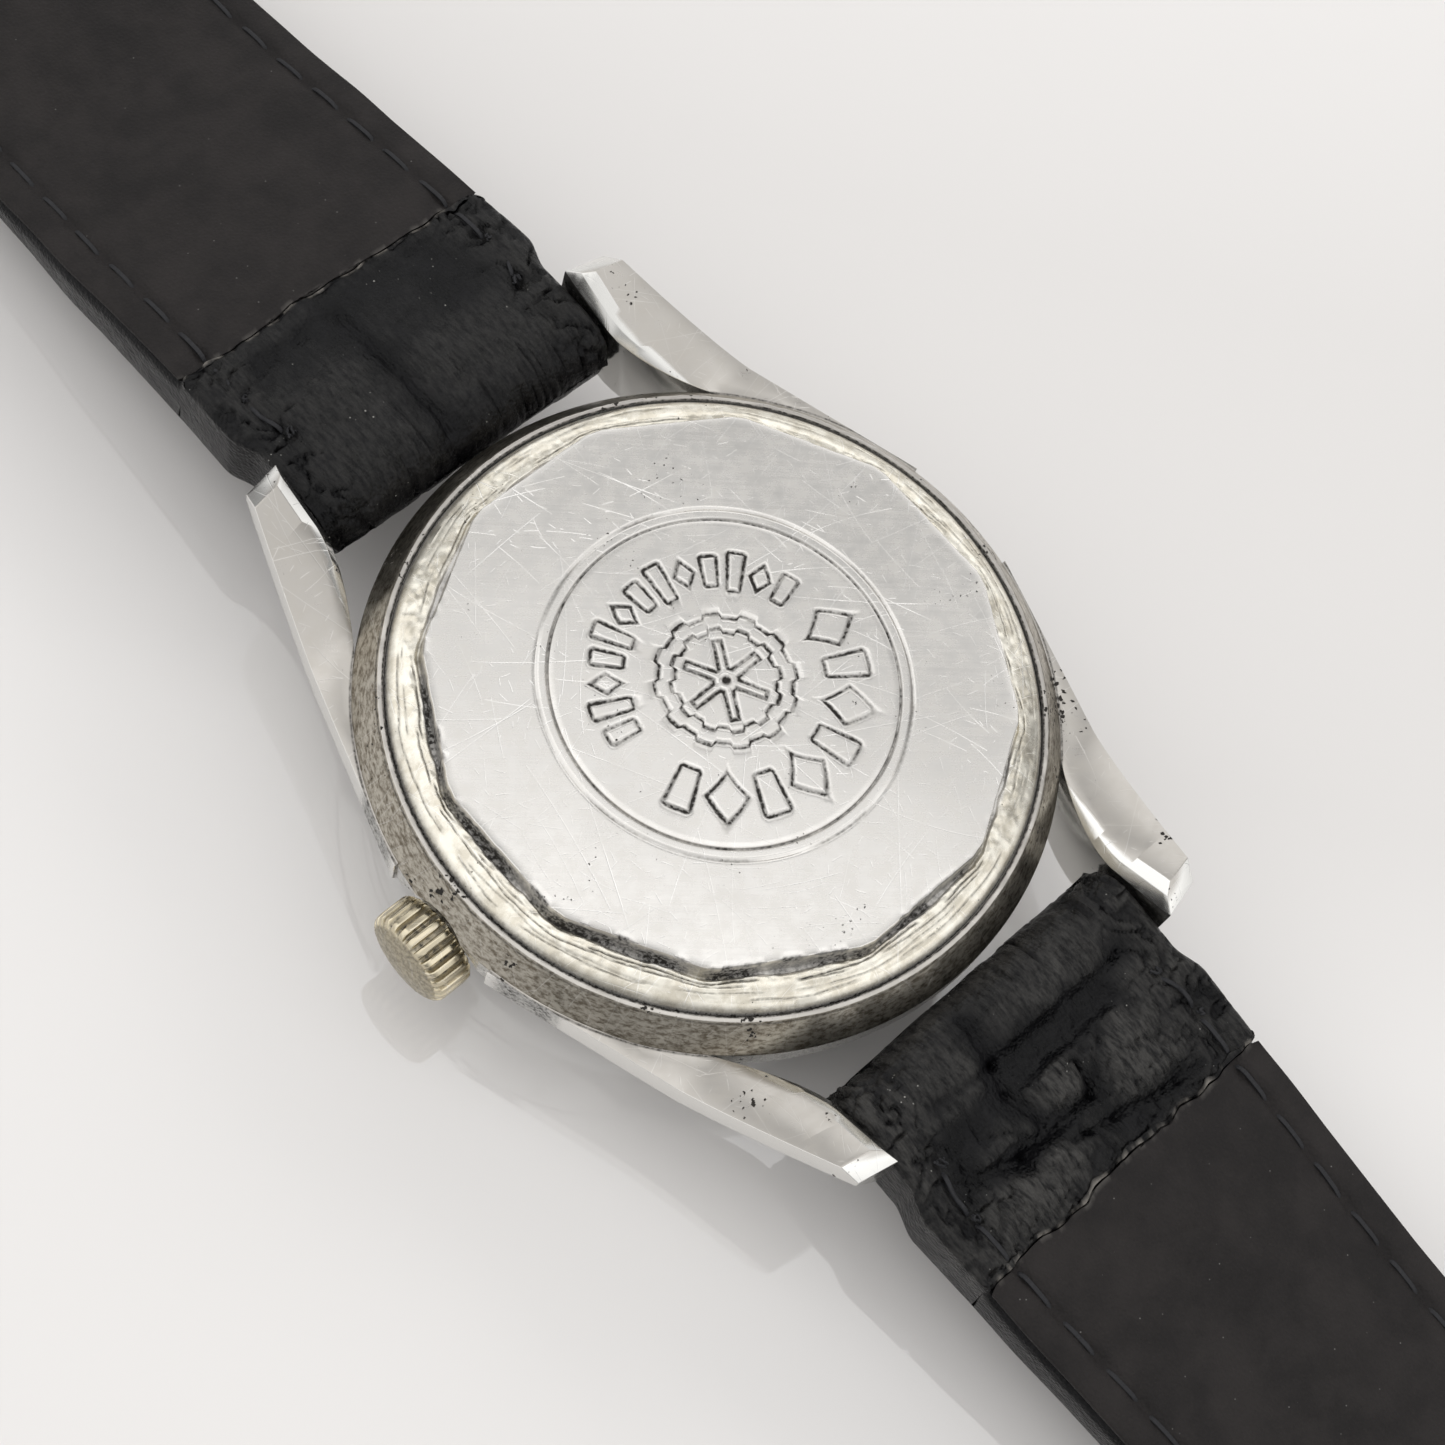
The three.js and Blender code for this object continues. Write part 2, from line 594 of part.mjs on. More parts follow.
function minuteWheel() {
  const [, wheelPitch] = pitchRadii(MOTION_DISTANCE, CANNON_TEETH, MINUTE_WHEEL_TEETH);
  const [pinionPitch] = pitchRadii(MOTION_DISTANCE, MINUTE_PINION_TEETH, HOUR_WHEEL_TEETH);
  const wheel = gear(MINUTE_WHEEL_TEETH, wheelPitch, 3.84, 3.98, gapAt(210, MINUTE_WHEEL_TEETH));
  const pinion = gear(MINUTE_PINION_TEETH, pinionPitch, 3.56, 3.86, 210);
  return cut(join(wheel, pinion), rod(0.25, 3, 5));
}

// A small toothed drum riding on the stem between two X positions.
function stemPinion(x0, x1) {
  return alongX(cut(gear(12, 0.8, x0, x1), rod(0.5, x0 - 1, x1 + 1)));
}

function crownWheel() {
  const [, pitch] = pitchRadii(CROWN_WHEEL_DISTANCE, RATCHET_TEETH, CROWN_WHEEL_TEETH);
  const toRatchet = directionTo(CROWN_WHEEL, BARREL);
  const teeth = gear(CROWN_WHEEL_TEETH, pitch, 8.05, 8.25, gapAt(toRatchet, CROWN_WHEEL_TEETH));
  return join(teeth, rod(2.15, 6.25, 8.1, SMALL_ROUND));
}

function ratchetWheel() {
  const [pitch] = pitchRadii(CROWN_WHEEL_DISTANCE, RATCHET_TEETH, CROWN_WHEEL_TEETH);
  const teeth = gear(RATCHET_TEETH, pitch, 8.05, 8.25, directionTo(BARREL, CROWN_WHEEL));
  return cut(teeth, rod(0.65, 7, 9));
}

function click() {
  const outline = [[0.45, 0], [0.2, 0.45], [-0.4, 0.4], [-1.1, 1.1], [-0.45, -0.1], [0, -0.45]];
  return cut(plate(outline, 8.05, 8.2), rod(0.22, 7, 9));
}

add('hour_wheel', brass, hourWheel());
add('cannon_pinion', polishedSteel, cannonPinion());
addAt(MOTION, 'minute_wheel', brass, minuteWheel());
add('winding_pinion', polishedSteel, stemPinion(-9.65, -8.75));
add('sliding_pinion', polishedSteel, stemPinion(-8.7, -7.7));
addAt(CROWN_WHEEL, 'crown_wheel', polishedSteel, crownWheel());
addAt(BARREL, 'ratchet_wheel', polishedSteel, ratchetWheel());
addAt(CLICK, 'click', polishedSteel, click());

// ---------- automatic winding weight ----------

function halfRing(inner, outer, z0, z1) {
  return common(ring(inner, outer, z0, z1, ROUND), box(-14, 14, -14, 0.6, z0 - 1, z1 + 1));
}

function rotor() {
  const web = halfRing(1.4, 12, 8.6, 8.85);
  const rim = halfRing(10.4, 12.1, 8.45, 9.6);
  return cut(join(web, rim, rod(2.2, 8.6, 9.1, SMALL_ROUND)), rod(1.06, 8, 10, SMALL_ROUND));
}

add('rotor', platedBrass, rotor());
add('rotor_post', polishedSteel, join(
  rod(1, BRIDGE_TOP_Z, 9.2, SMALL_ROUND), rod(1.5, 9.17, 9.4, SMALL_ROUND),
));

// ---------- strap ----------

// Side views, as [distance from the case centre, z], from the bar outwards.
const SHORT_TOP = [[BAR_Y, 9.25], [24, 9.15], [30, 8.35], [37, 7], [43, 5.95], [46, 5.7]];
const SHORT_BOTTOM = [[46, 3.3], [37, 3.6], [26, 4.6], [BAR_Y, 4.95]];
const LONG_TOP = [[BAR_Y, 9.25], [23, 8.6], [30, 7.7], [39, 6.7], [48, 5.8]];
const LONG_BOTTOM = [[48, 3.2], [37, 3.7], [26, 4.5], [BAR_Y, 4.95]];

// Plan of a strap half. It narrows from its full width past the lugs to its tapered width at y 70,
// and is middleWidth wide at y 40.
function strapPlan(middleWidth) {
  const widths = [
    [BAR_Y - ROLL_RADIUS, STRAP_END_WIDTH], [22.6, STRAP_END_WIDTH], [24.5, STRAP_WIDTH],
    [40, middleWidth], [70, STRAP_TAPERED_WIDTH], [200, STRAP_TAPERED_WIDTH],
  ];
  const right = widths.map(([y, width]) => [width / 2, y]);
  const left = widths.map(([y, width]) => [-width / 2, y]).reverse();
  return [...right, ...left];
}

const SHORT_PLAN = strapPlan(18.3);
const LONG_PLAN = strapPlan(17.4);

// The round end that wraps the spring bar, as the inner arc from its lowest to its highest point.
function rollArc() {
  const points = [];
  for (let degrees = 255; degrees > 100; degrees -= 15) {
    const [y, z] = polar(ROLL_RADIUS, degrees, [BAR_Y, BAR_Z]);
    points.push([y, z]);
  }
  return points;
}

function offset(points, dz) {
  return points.map(([y, z]) => [y, z + dz]);
}

// One length of strap between the side lines, trimmed to the plan. endSign is +1 toward 12.
function strapPiece(endSign, profile, plan = endSign > 0 ? SHORT_PLAN : LONG_PLAN) {
  const points = profile.map(([y, z]) => [y * endSign, z]);
  const view = sideBar(endSign > 0 ? points : points.reverse(), -10, 10);
  const outline = plan.map(([x, y]) => [x, y * endSign]);
  return common(view, plate(endSign > 0 ? outline : outline.reverse(), -1, 14));
}

// The near half: embossed cover leather round the bar with its folded flap, then the lining
// beyond the flap let into the back.
const FLAP_END = 28.3;

function nearCover(endSign, top, bottom) {
  const outer = bottom.map(([y, z]) => [y, z]);
  const inner = top.filter(([y]) => y <= FLAP_END);
  const flapZ = lineZ(top, FLAP_END);
  const beyond = offset(top.filter(([y]) => y > FLAP_END), -LINING);
  const profile = [
    ...rollArc().reverse(), ...outer.reverse(), ...beyond.reverse(),
    [FLAP_END, flapZ - LINING], [FLAP_END, flapZ], ...inner.reverse(),
  ];
  const leather = strapPiece(endSign, profile);
  return cut(leather, alongX(rod(BAR_RADIUS + 0.08, -12, 12), endSign * BAR_Y, BAR_Z));
}

function nearLining(endSign, top) {
  const start = FLAP_END + 0.1;
  const line = [[start, lineZ(top, start)], ...top.filter(([y]) => y > start)];
  return strapPiece(endSign, [...offset(line, 0.05 - LINING), ...line.reverse()]);
}

// Height of a side line at a distance from the case centre.
function lineZ(line, y) {
  const i = line.findIndex(([next]) => next >= y);
  const [[y0, z0], [y1, z1]] = [line[i - 1], line[i]];
  return z0 + (z1 - z0) * (y - y0) / (y1 - y0);
}

// A flat or sloping length of strap with its cover below and its lining above.
function farPieces(endSign, [y0, bottom0, top0], [y1, bottom1, top1], plan) {
  const split = -LINING;
  const cover = [[y0, bottom0], [y1, bottom1], [y1, top1 + split], [y0, top0 + split]];
  const lining = [[y0, top0 + split + 0.05], [y1, top1 + split + 0.05], [y1, top1], [y0, top0]];
  return [strapPiece(endSign, cover, plan), strapPiece(endSign, lining, plan)];
}

function addStrap(name, [cover, lining]) {
  add(`${name}_cover`, embossedLeather, cover);
  add(`${name}_lining`, liningLeather, lining);
}

// Buckle holes of the long half, cut through a piece.
function cutBuckleHoles(piece, first, last, pitch = 6.5) {
  const tools = [];
  for (let y = first; y <= last; y += pitch) tools.push(rod(0.9, -1, 5).translate(0, -y, 0));
  return cut(piece, ...tools);
}

const longEndPlan = [
  [8, 80], [8, 126], [5.5, 131.5], [0, -LONG_STRAP_TIP_Y], [-5.5, 131.5], [-8, 126], [-8, 80],
];
const LONG_JOINT_1 = 48;
const LONG_JOINT_2 = 88;
const SHORT_JOINT = 46;

addStrap('strap_12_near', [nearCover(1, SHORT_TOP, SHORT_BOTTOM), nearLining(1, SHORT_TOP)]);
addStrap('strap_6_near', [nearCover(-1, LONG_TOP, LONG_BOTTOM), nearLining(-1, LONG_TOP)]);
addStrap('strap_6_middle', farPieces(-1, [LONG_JOINT_1 + LEATHER_GAP, 3.2, 5.8], [LONG_JOINT_2, 0, 2.4]));
const longEnd = farPieces(-1, [LONG_JOINT_2 + LEATHER_GAP, 0, 2.4], [140, 0, 2.4], longEndPlan);
addStrap('strap_6_end', longEnd.map((piece) => cutBuckleHoles(piece, 90, 124)));

function shortEndPieces() {
  const pieces = farPieces(1, [SHORT_JOINT + LEATHER_GAP, 3.3, 5.7], [BUCKLE_BAR_Y + 1.1, 3.3, 5.7]);
  const barHole = () => alongX(rod(0.7, -12, 12), BUCKLE_BAR_Y, BUCKLE_BAR_Z);
  const tongueSlot = () => box(-1.4, 1.4, BUCKLE_BAR_Y - 3, BUCKLE_BAR_Y + 2, 0, 8);
  return pieces.map((piece) => cut(piece, barHole(), tongueSlot()));
}

addStrap('strap_12_end', shortEndPieces());

// ---------- keepers and buckle ----------

// A leather loop round the strap, with room under it for the other half's end.
function keeper(y0, width) {
  const outside = box(-9.8, 9.8, y0, y0 + width, 0, 6.9);
  const inside = box(-8.8, 8.8, y0 - 1, y0 + width + 1, 1.05, 5.85);
  return cut(outside, inside);
}

add('fixed_keeper', embossedLeather, keeper(82, 5));
add('sliding_keeper', embossedLeather, keeper(62, 5));

function buckleFrame() {
  const outline = [[-9.2, -1.3], [9.2, -1.3], [10.3, 0], [10.3, 11], [9, 12.5], [-9, 12.5], [-10.3, 11], [-10.3, 0]];
  const opening = box(-8.5, 8.5, -3, 10.2, -3, 3);
  const barHole = alongX(rod(0.65, -9.7, 9.7), 0, 0);
  const notch = box(-0.9, 0.9, 9, 13, -2, -0.15);
  return cut(plate(outline, -1, 1), opening, barHole, notch);
}

function buckleTongue() {
  const eye = alongX(ring(0.7, 1.25, -0.8, 0.8, SMALL_ROUND), 0, 0);
  const pin = sideBar([[0.9, -0.7], [11.9, -0.95], [12.3, -0.75], [12.3, -0.35], [0.9, 0.1]], -0.7, 0.7);
  return join(eye, pin);
}

const buckle = new THREE.Group();
buckle.position.set(0, BUCKLE_BAR_Y, BUCKLE_BAR_Z);
buckle.rotation.x = BUCKLE_TILT;
watch.add(buckle);
add('buckle_frame', polishedSteel, buckleFrame(), buckle);
add('buckle_tongue', polishedSteel, buckleTongue(), buckle);
add('buckle_bar', polishedSteel, alongX(rod(0.6, -9.6, 9.6), 0, 0), buckle);

export default watch;
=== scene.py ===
"""Looks of a worn wristwatch lying on its crystal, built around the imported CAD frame.

Lengths inside this script are millimetres and are turned into metres where a mesh is made.
+Z points out of the case back, +Y to 12 o'clock (buckle half of the strap), -X to the crown.
"""
import json
import math

import bmesh
import bpy
import numpy as np
from mathutils import Matrix, Vector


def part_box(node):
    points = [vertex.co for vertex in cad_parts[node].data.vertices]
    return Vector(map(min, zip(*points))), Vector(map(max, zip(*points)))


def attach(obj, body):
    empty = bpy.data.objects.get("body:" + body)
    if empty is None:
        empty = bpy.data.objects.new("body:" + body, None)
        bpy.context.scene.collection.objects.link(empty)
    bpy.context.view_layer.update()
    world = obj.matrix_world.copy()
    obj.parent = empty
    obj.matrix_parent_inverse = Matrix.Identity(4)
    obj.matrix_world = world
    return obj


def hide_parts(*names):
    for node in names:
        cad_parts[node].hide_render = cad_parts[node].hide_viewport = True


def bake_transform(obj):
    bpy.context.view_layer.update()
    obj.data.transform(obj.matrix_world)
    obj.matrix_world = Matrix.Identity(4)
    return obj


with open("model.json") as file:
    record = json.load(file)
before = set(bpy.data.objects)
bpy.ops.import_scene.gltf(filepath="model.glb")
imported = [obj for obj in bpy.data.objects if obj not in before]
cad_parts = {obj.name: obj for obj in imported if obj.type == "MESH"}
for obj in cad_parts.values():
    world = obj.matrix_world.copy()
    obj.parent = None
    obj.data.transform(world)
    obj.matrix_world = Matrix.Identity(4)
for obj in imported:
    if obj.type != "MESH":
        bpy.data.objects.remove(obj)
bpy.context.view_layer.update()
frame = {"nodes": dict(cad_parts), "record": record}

MM = 0.001
TAU = 2 * math.pi

# ---------- driving dimensions, from the frame ----------


def node_box(name):
    """Lowest and highest corner of a CAD node in millimetres."""
    low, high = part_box(name)
    return np.array(low) / MM, np.array(high) / MM


def node_middle(name):
    low, high = node_box(name)
    return (low + high) / 2


BACK_Z = node_box("case_back")[1][2]
BAR_Y, BAR_Z = node_middle("spring_bar_12")[1:]
STEM_Z = node_middle("crown")[2]


# ---------- numbers and noise ----------


def smoothstep(low, high, x):
    t = np.clip((x - low) / (high - low), 0, 1)
    return t * t * (3 - 2 * t)


def lattice(i, j, seed):
    """A repeatable random number from 0 to 1 at each whole lattice point."""
    n = (i * 374761393 + j * 668265263 + seed * 974634777) & 0x7FFFFFFF
    n = (n ^ (n >> 13)) * 1274126177 & 0x7FFFFFFF
    return ((n ^ (n >> 16)) & 0xFFFF) / 65535.0


def noise2(x, y, seed=0):
    """Smooth value noise from -1 to 1 with features one unit wide."""
    x, y = np.broadcast_arrays(np.asarray(x, float), np.asarray(y, float))
    i, j = np.floor(x).astype(np.int64), np.floor(y).astype(np.int64)
    u, v = x - i, y - j
    u, v = u * u * (3 - 2 * u), v * v * (3 - 2 * v)
    a, b = lattice(i, j, seed), lattice(i + 1, j, seed)
    c, d = lattice(i, j + 1, seed), lattice(i + 1, j + 1, seed)
    return ((a * (1 - u) + b * u) * (1 - v) + (c * (1 - u) + d * u) * v) * 2 - 1


def fractal(x, y, seed=0, octaves=3):
    total, size = 0, 1.0
    for k in range(octaves):
        total = total + size * noise2(x / size, y / size, seed + 17 * k)
        size *= 0.5
    return total


def arc(centre, radius, start, end, steps):
    """Points of an arc in a plane, from one angle to another in degrees."""
    angles = np.radians(np.linspace(start, end, steps))
    return [(centre[0] + radius * math.cos(a), centre[1] + radius * math.sin(a)) for a in angles]


def rounded(points, radius, steps=4, closed=True):
    """A polyline with its corners rounded; radius is one number or one for each point."""
    pts = [np.array(p, float) for p in points]
    radii = radius if hasattr(radius, "__len__") else [radius] * len(pts)
    result = []
    for k, p in enumerate(pts):
        if not closed and k in (0, len(pts) - 1):
            result.append(p)
            continue
        before, after = pts[k - 1] - p, pts[(k + 1) % len(pts)] - p
        la, lb = np.linalg.norm(before), np.linalg.norm(after)
        cosine = np.clip(before @ after / (la * lb), -1, 1)
        half = math.acos(cosine) / 2
        reach = min(radii[k] / max(math.tan(half), 1e-6), 0.45 * la, 0.45 * lb)
        if reach < 1e-5:
            result.append(p)
            continue
        a, b = p + before / la * reach, p + after / lb * reach
        for t in np.linspace(0, 1, steps + 1):
            result.append((1 - t) ** 2 * a + 2 * t * (1 - t) * p + t * t * b)
    return np.array(result)


def stations(*spans):
    """Places along a line, given as spans of (start, end, step)."""
    return np.concatenate([np.arange(start, end, step) for start, end, step in spans])


# ---------- meshes ----------


def make_object(name, points, faces, material, smooth_angle=40, attributes=None):
    """A mesh object from points in millimetres, with per-point numbers kept as attributes."""
    mesh = bpy.data.meshes.new(name)
    mesh.from_pydata((np.asarray(points, float) * MM).tolist(), [], faces)
    for key, values in (attributes or {}).items():
        set_attribute(mesh, key, values)
    mesh.validate()
    mesh.update()
    obj = bpy.data.objects.new(name, mesh)
    bpy.context.scene.collection.objects.link(obj)
    smooth(obj, smooth_angle)
    if material:
        mesh.materials.append(material)
    return obj


def set_attribute(mesh, name, values, kind="FLOAT", field="value"):
    layer = mesh.attributes.new(name, kind, "POINT")
    layer.data.foreach_set(field, np.asarray(values, np.float32).ravel())


def keep_rest(obj, metres):
    """Keeps each point's place before any bending, for the materials."""
    set_attribute(obj.data, "rest", metres, "FLOAT_VECTOR", "vector")


def smooth(obj, angle):
    obj.data.shade_smooth()
    obj.data.set_sharp_from_angle(angle=math.radians(angle))


def grid_faces(rows, cols, wrap_rows=False, wrap_cols=False):
    """Quads of a grid of points that is numbered row by row."""
    r = np.arange(rows if wrap_rows else rows - 1)
    c = np.arange(cols if wrap_cols else cols - 1)
    r, c = [a.ravel() for a in np.meshgrid(r, c, indexing="ij")]
    r1, c1 = (r + 1) % rows, (c + 1) % cols
    return np.stack([r * cols + c, r * cols + c1, r1 * cols + c1, r1 * cols + c], axis=1).tolist()


def turned(profile, segments, wobble=None):
    """Points and faces of a profile of (radius, z) turned about Z. A point on the axis is a pole."""
    profile = np.asarray(profile, float)
    angles = np.arange(segments) * TAU / segments
    on_axis = profile[:, 0] < 1e-6
    body = profile[~on_axis]
    radius = np.repeat(body[:, :1], segments, axis=1)
    height = np.repeat(body[:, 1:2], segments, axis=1)
    if wobble:
        radius, height = wobble(radius, height, angles[None, :])
    points = np.stack([radius * np.cos(angles), radius * np.sin(angles), height], axis=-1).reshape(-1, 3)
    rows = len(body)
    closed = not on_axis.any()
    faces = grid_faces(rows, segments, wrap_rows=closed, wrap_cols=True)
    ring = np.arange(segments)
    for pole, row in ((on_axis[0], 0), (on_axis[-1], rows - 1)):
        if pole:
            z = profile[0, 1] if row == 0 else profile[-1, 1]
            points = np.vstack([points, [[0, 0, z]]])
            a, b = row * segments + ring, row * segments + (ring + 1) % segments
            tip = np.full(segments, len(points) - 1)
            fan = np.stack([tip, b, a] if row == 0 else [tip, a, b], axis=1)
            faces += fan.tolist()
    return points, faces


def ringed(radius, height, angle):
    """Points and faces of a body of rings about Z with flat ends, one row of numbers to a ring."""
    points = np.stack([radius * np.cos(angle), radius * np.sin(angle), height], axis=-1).reshape(-1, 3)
    rows, cols = radius.shape
    faces = grid_faces(rows, cols, wrap_cols=True)
    faces.append(list(range(cols)))
    faces.append([(rows - 1) * cols + k for k in range(cols)][::-1])
    return points, faces


def cylinder(radius, low, high, segments):
    """Points and faces of a cylinder along Z."""
    points, faces = turned([(0, low), (radius, low), (radius, high), (0, high)], segments)
    return points, outward(points, faces)


def signed_volume(points, faces):
    """Six times the volume that the faces enclose, negative if they point inwards."""
    total = 0.0
    for size in {len(f) for f in faces}:
        corners = points[np.array([f for f in faces if len(f) == size])]
        for k in range(1, size - 1):
            total += np.sum(corners[:, 0] * np.cross(corners[:, k], corners[:, k + 1]))
    return total


def outward(points, faces):
    """The faces, all turned round if they point into the body."""
    return [f[::-1] for f in faces] if signed_volume(np.asarray(points), faces) < 0 else faces


def along_x(points, y=0.0, z=0.0):
    """Turns a solid made about Z so that its axis lies along X."""
    p = np.asarray(points, float)
    return np.stack([p[:, 2], p[:, 1] + y, -p[:, 0] + z], axis=1)


def loft(sections):
    """Points and faces through sections with the same number of points."""
    sections = np.asarray(sections, float)
    rows, cols = sections.shape[:2]
    points = sections.reshape(-1, 3)
    faces = grid_faces(rows, cols, wrap_cols=True)
    faces.append(list(range(cols))[::-1])
    faces.append([(rows - 1) * cols + k for k in range(cols)])
    return points, outward(points, faces)


# ---------- materials ----------


class Shader:
    """A node material. Each call adds a node and returns its output socket."""

    def __init__(self, name, **settings):
        self.material = bpy.data.materials.new(name)
        self.material.use_nodes = True
        self.tree = self.material.node_tree
        self.bsdf = self.tree.nodes["Principled BSDF"]
        self.set(**settings)

    def set(self, **settings):
        for key, value in settings.items():
            self.put(self.bsdf.inputs[key.replace("_", " ").title().replace("Ior", "IOR")], value)

    def put(self, socket, value):
        if isinstance(value, bpy.types.NodeSocket):
            self.tree.links.new(value, socket)
        elif hasattr(value, "__len__"):
            socket.default_value = (*value, 1.0)[: len(socket.default_value)]
        else:
            socket.default_value = value

    def node(self, kind, inputs=None, output=0, **settings):
        made = self.tree.nodes.new("ShaderNode" + kind)
        for key, value in settings.items():
            setattr(made, key, value)
        for key, value in (inputs or {}).items():
            self.put(made.inputs[key], value)
        return made.outputs[output]

    def math(self, operation, a, b=0.0, clamp=False):
        return self.node("Math", {0: a, 1: b}, operation=operation, use_clamp=clamp)

    def plus(self, a, b, clamp=False):
        return self.math("ADD", a, b, clamp)

    def minus(self, a, b):
        return self.math("SUBTRACT", a, b)

    def times(self, a, b, clamp=False):
        return self.math("MULTIPLY", a, b, clamp)

    def larger(self, a, b):
        return self.math("MAXIMUM", a, b)

    def painted(self, name):
        """A number kept at the mesh's points."""
        return self.node("Attribute", attribute_name=name, output="Fac")

    def vector(self, operation, a, b=(0, 0, 0)):
        return self.node("VectorMath", {0: a, 1: b}, operation=operation)

    def span(self, value, low, high, to_low=0.0, to_high=1.0):
        """The value carried from one range to another, with soft ends."""
        places = {"From Min": low, "From Max": high, "To Min": to_low, "To Max": to_high}
        return self.node("MapRange", {"Value": value, **places}, interpolation_type="SMOOTHSTEP")

    def mix(self, factor, a, b):
        made = self.tree.nodes.new("ShaderNodeMix")
        made.data_type = "RGBA"
        for socket, value in ((made.inputs[0], factor), (made.inputs[6], a), (made.inputs[7], b)):
            self.put(socket, value)
        return made.outputs[2]

    def place(self, scale=(1, 1, 1), turn=0.0, attribute=None):
        """Position in millimetres, turned about Z and then scaled along each axis."""
        if attribute:
            source = self.node("Attribute", attribute_name=attribute, output="Vector")
        else:
            source = self.node("TexCoord", output="Object")
        in_mm = self.vector("MULTIPLY", source, (1 / MM,) * 3)
        turned_place = self.node("VectorRotate", {"Vector": in_mm, "Angle": turn}, rotation_type="Z_AXIS")
        return self.vector("MULTIPLY", turned_place, scale)

    def noise(self, place, scale=1.0, detail=3.0, roughness=0.55):
        inputs = {"Vector": place, "Scale": scale, "Detail": detail, "Roughness": roughness}
        return self.node("TexNoise", inputs)

    def cells(self, place, scale=1.0):
        """Distance to the nearest of many scattered points."""
        return self.node("TexVoronoi", {"Vector": place, "Scale": scale}, output="Distance")

    def bump(self, height, distance_mm):
        return self.node("Bump", {"Height": height, "Distance": distance_mm * MM})


# Scratches on steel: size of the cell that holds one, width, length, and seed.
SCRATCH_KINDS = (
    (7.2, 0.036, 11.0, 1), (5.6, 0.03, 8.5, 2), (4.6, 0.028, 7.0, 3), (3.6, 0.024, 5.0, 4),
    (2.7, 0.022, 3.6, 5), (9.4, 0.04, 14.0, 6), (0.9, 0.03, 0.6, 7),
)
# Lines of soiling and painted shade in the gap and along edges round the case: radius, width and strength.
DIRT_AND_SHADE_RINGS = ((15.68, 0.08, 1.2), (15.98, 0.06, 0.8), (17.05, 0.1, 0.9))


def scratches(shader, place, cell, width, length, seed):
    """One thin, slightly bent line at a random angle in each cell of the XY plane, from 0 to 1."""
    in_cells = shader.vector("MULTIPLY", place, (1 / cell, 1 / cell, 0))
    at = shader.vector("ADD", in_cells, (seed * 7.31, seed * 3.77, 0))
    voronoi = shader.tree.nodes.new("ShaderNodeTexVoronoi")
    voronoi.voronoi_dimensions = "2D"
    shader.put(voronoi.inputs["Vector"], at)
    voronoi.inputs["Scale"].default_value = 1.0
    colour = shader.node("SeparateColor", {"Color": voronoi.outputs["Color"]})
    random_a, random_b = colour, colour.node.outputs[1]
    from_centre = shader.vector("SUBTRACT", at, voronoi.outputs["Position"])
    angle = shader.times(random_a, math.pi * 3)
    turn = {"Vector": from_centre, "Angle": angle}
    split = shader.node("SeparateXYZ", {"Vector": shader.node("VectorRotate", turn, rotation_type="Z_AXIS")})
    along, across = split, split.node.outputs[1]
    half_bend = shader.times(shader.minus(random_b, 0.5), 0.35)
    bend = shader.times(shader.times(along, along), half_bend)
    off_line = shader.math("ABSOLUTE", shader.plus(across, bend))
    line = shader.span(off_line, 0.0, width / cell, 1.0, 0.0)
    reach = shader.times(shader.plus(random_b, 0.35), length / cell / 2)
    end = shader.span(shader.minus(shader.math("ABSOLUTE", along), reach), -0.12, 0.0, 1.0, 0.0)
    return shader.times(line, end)


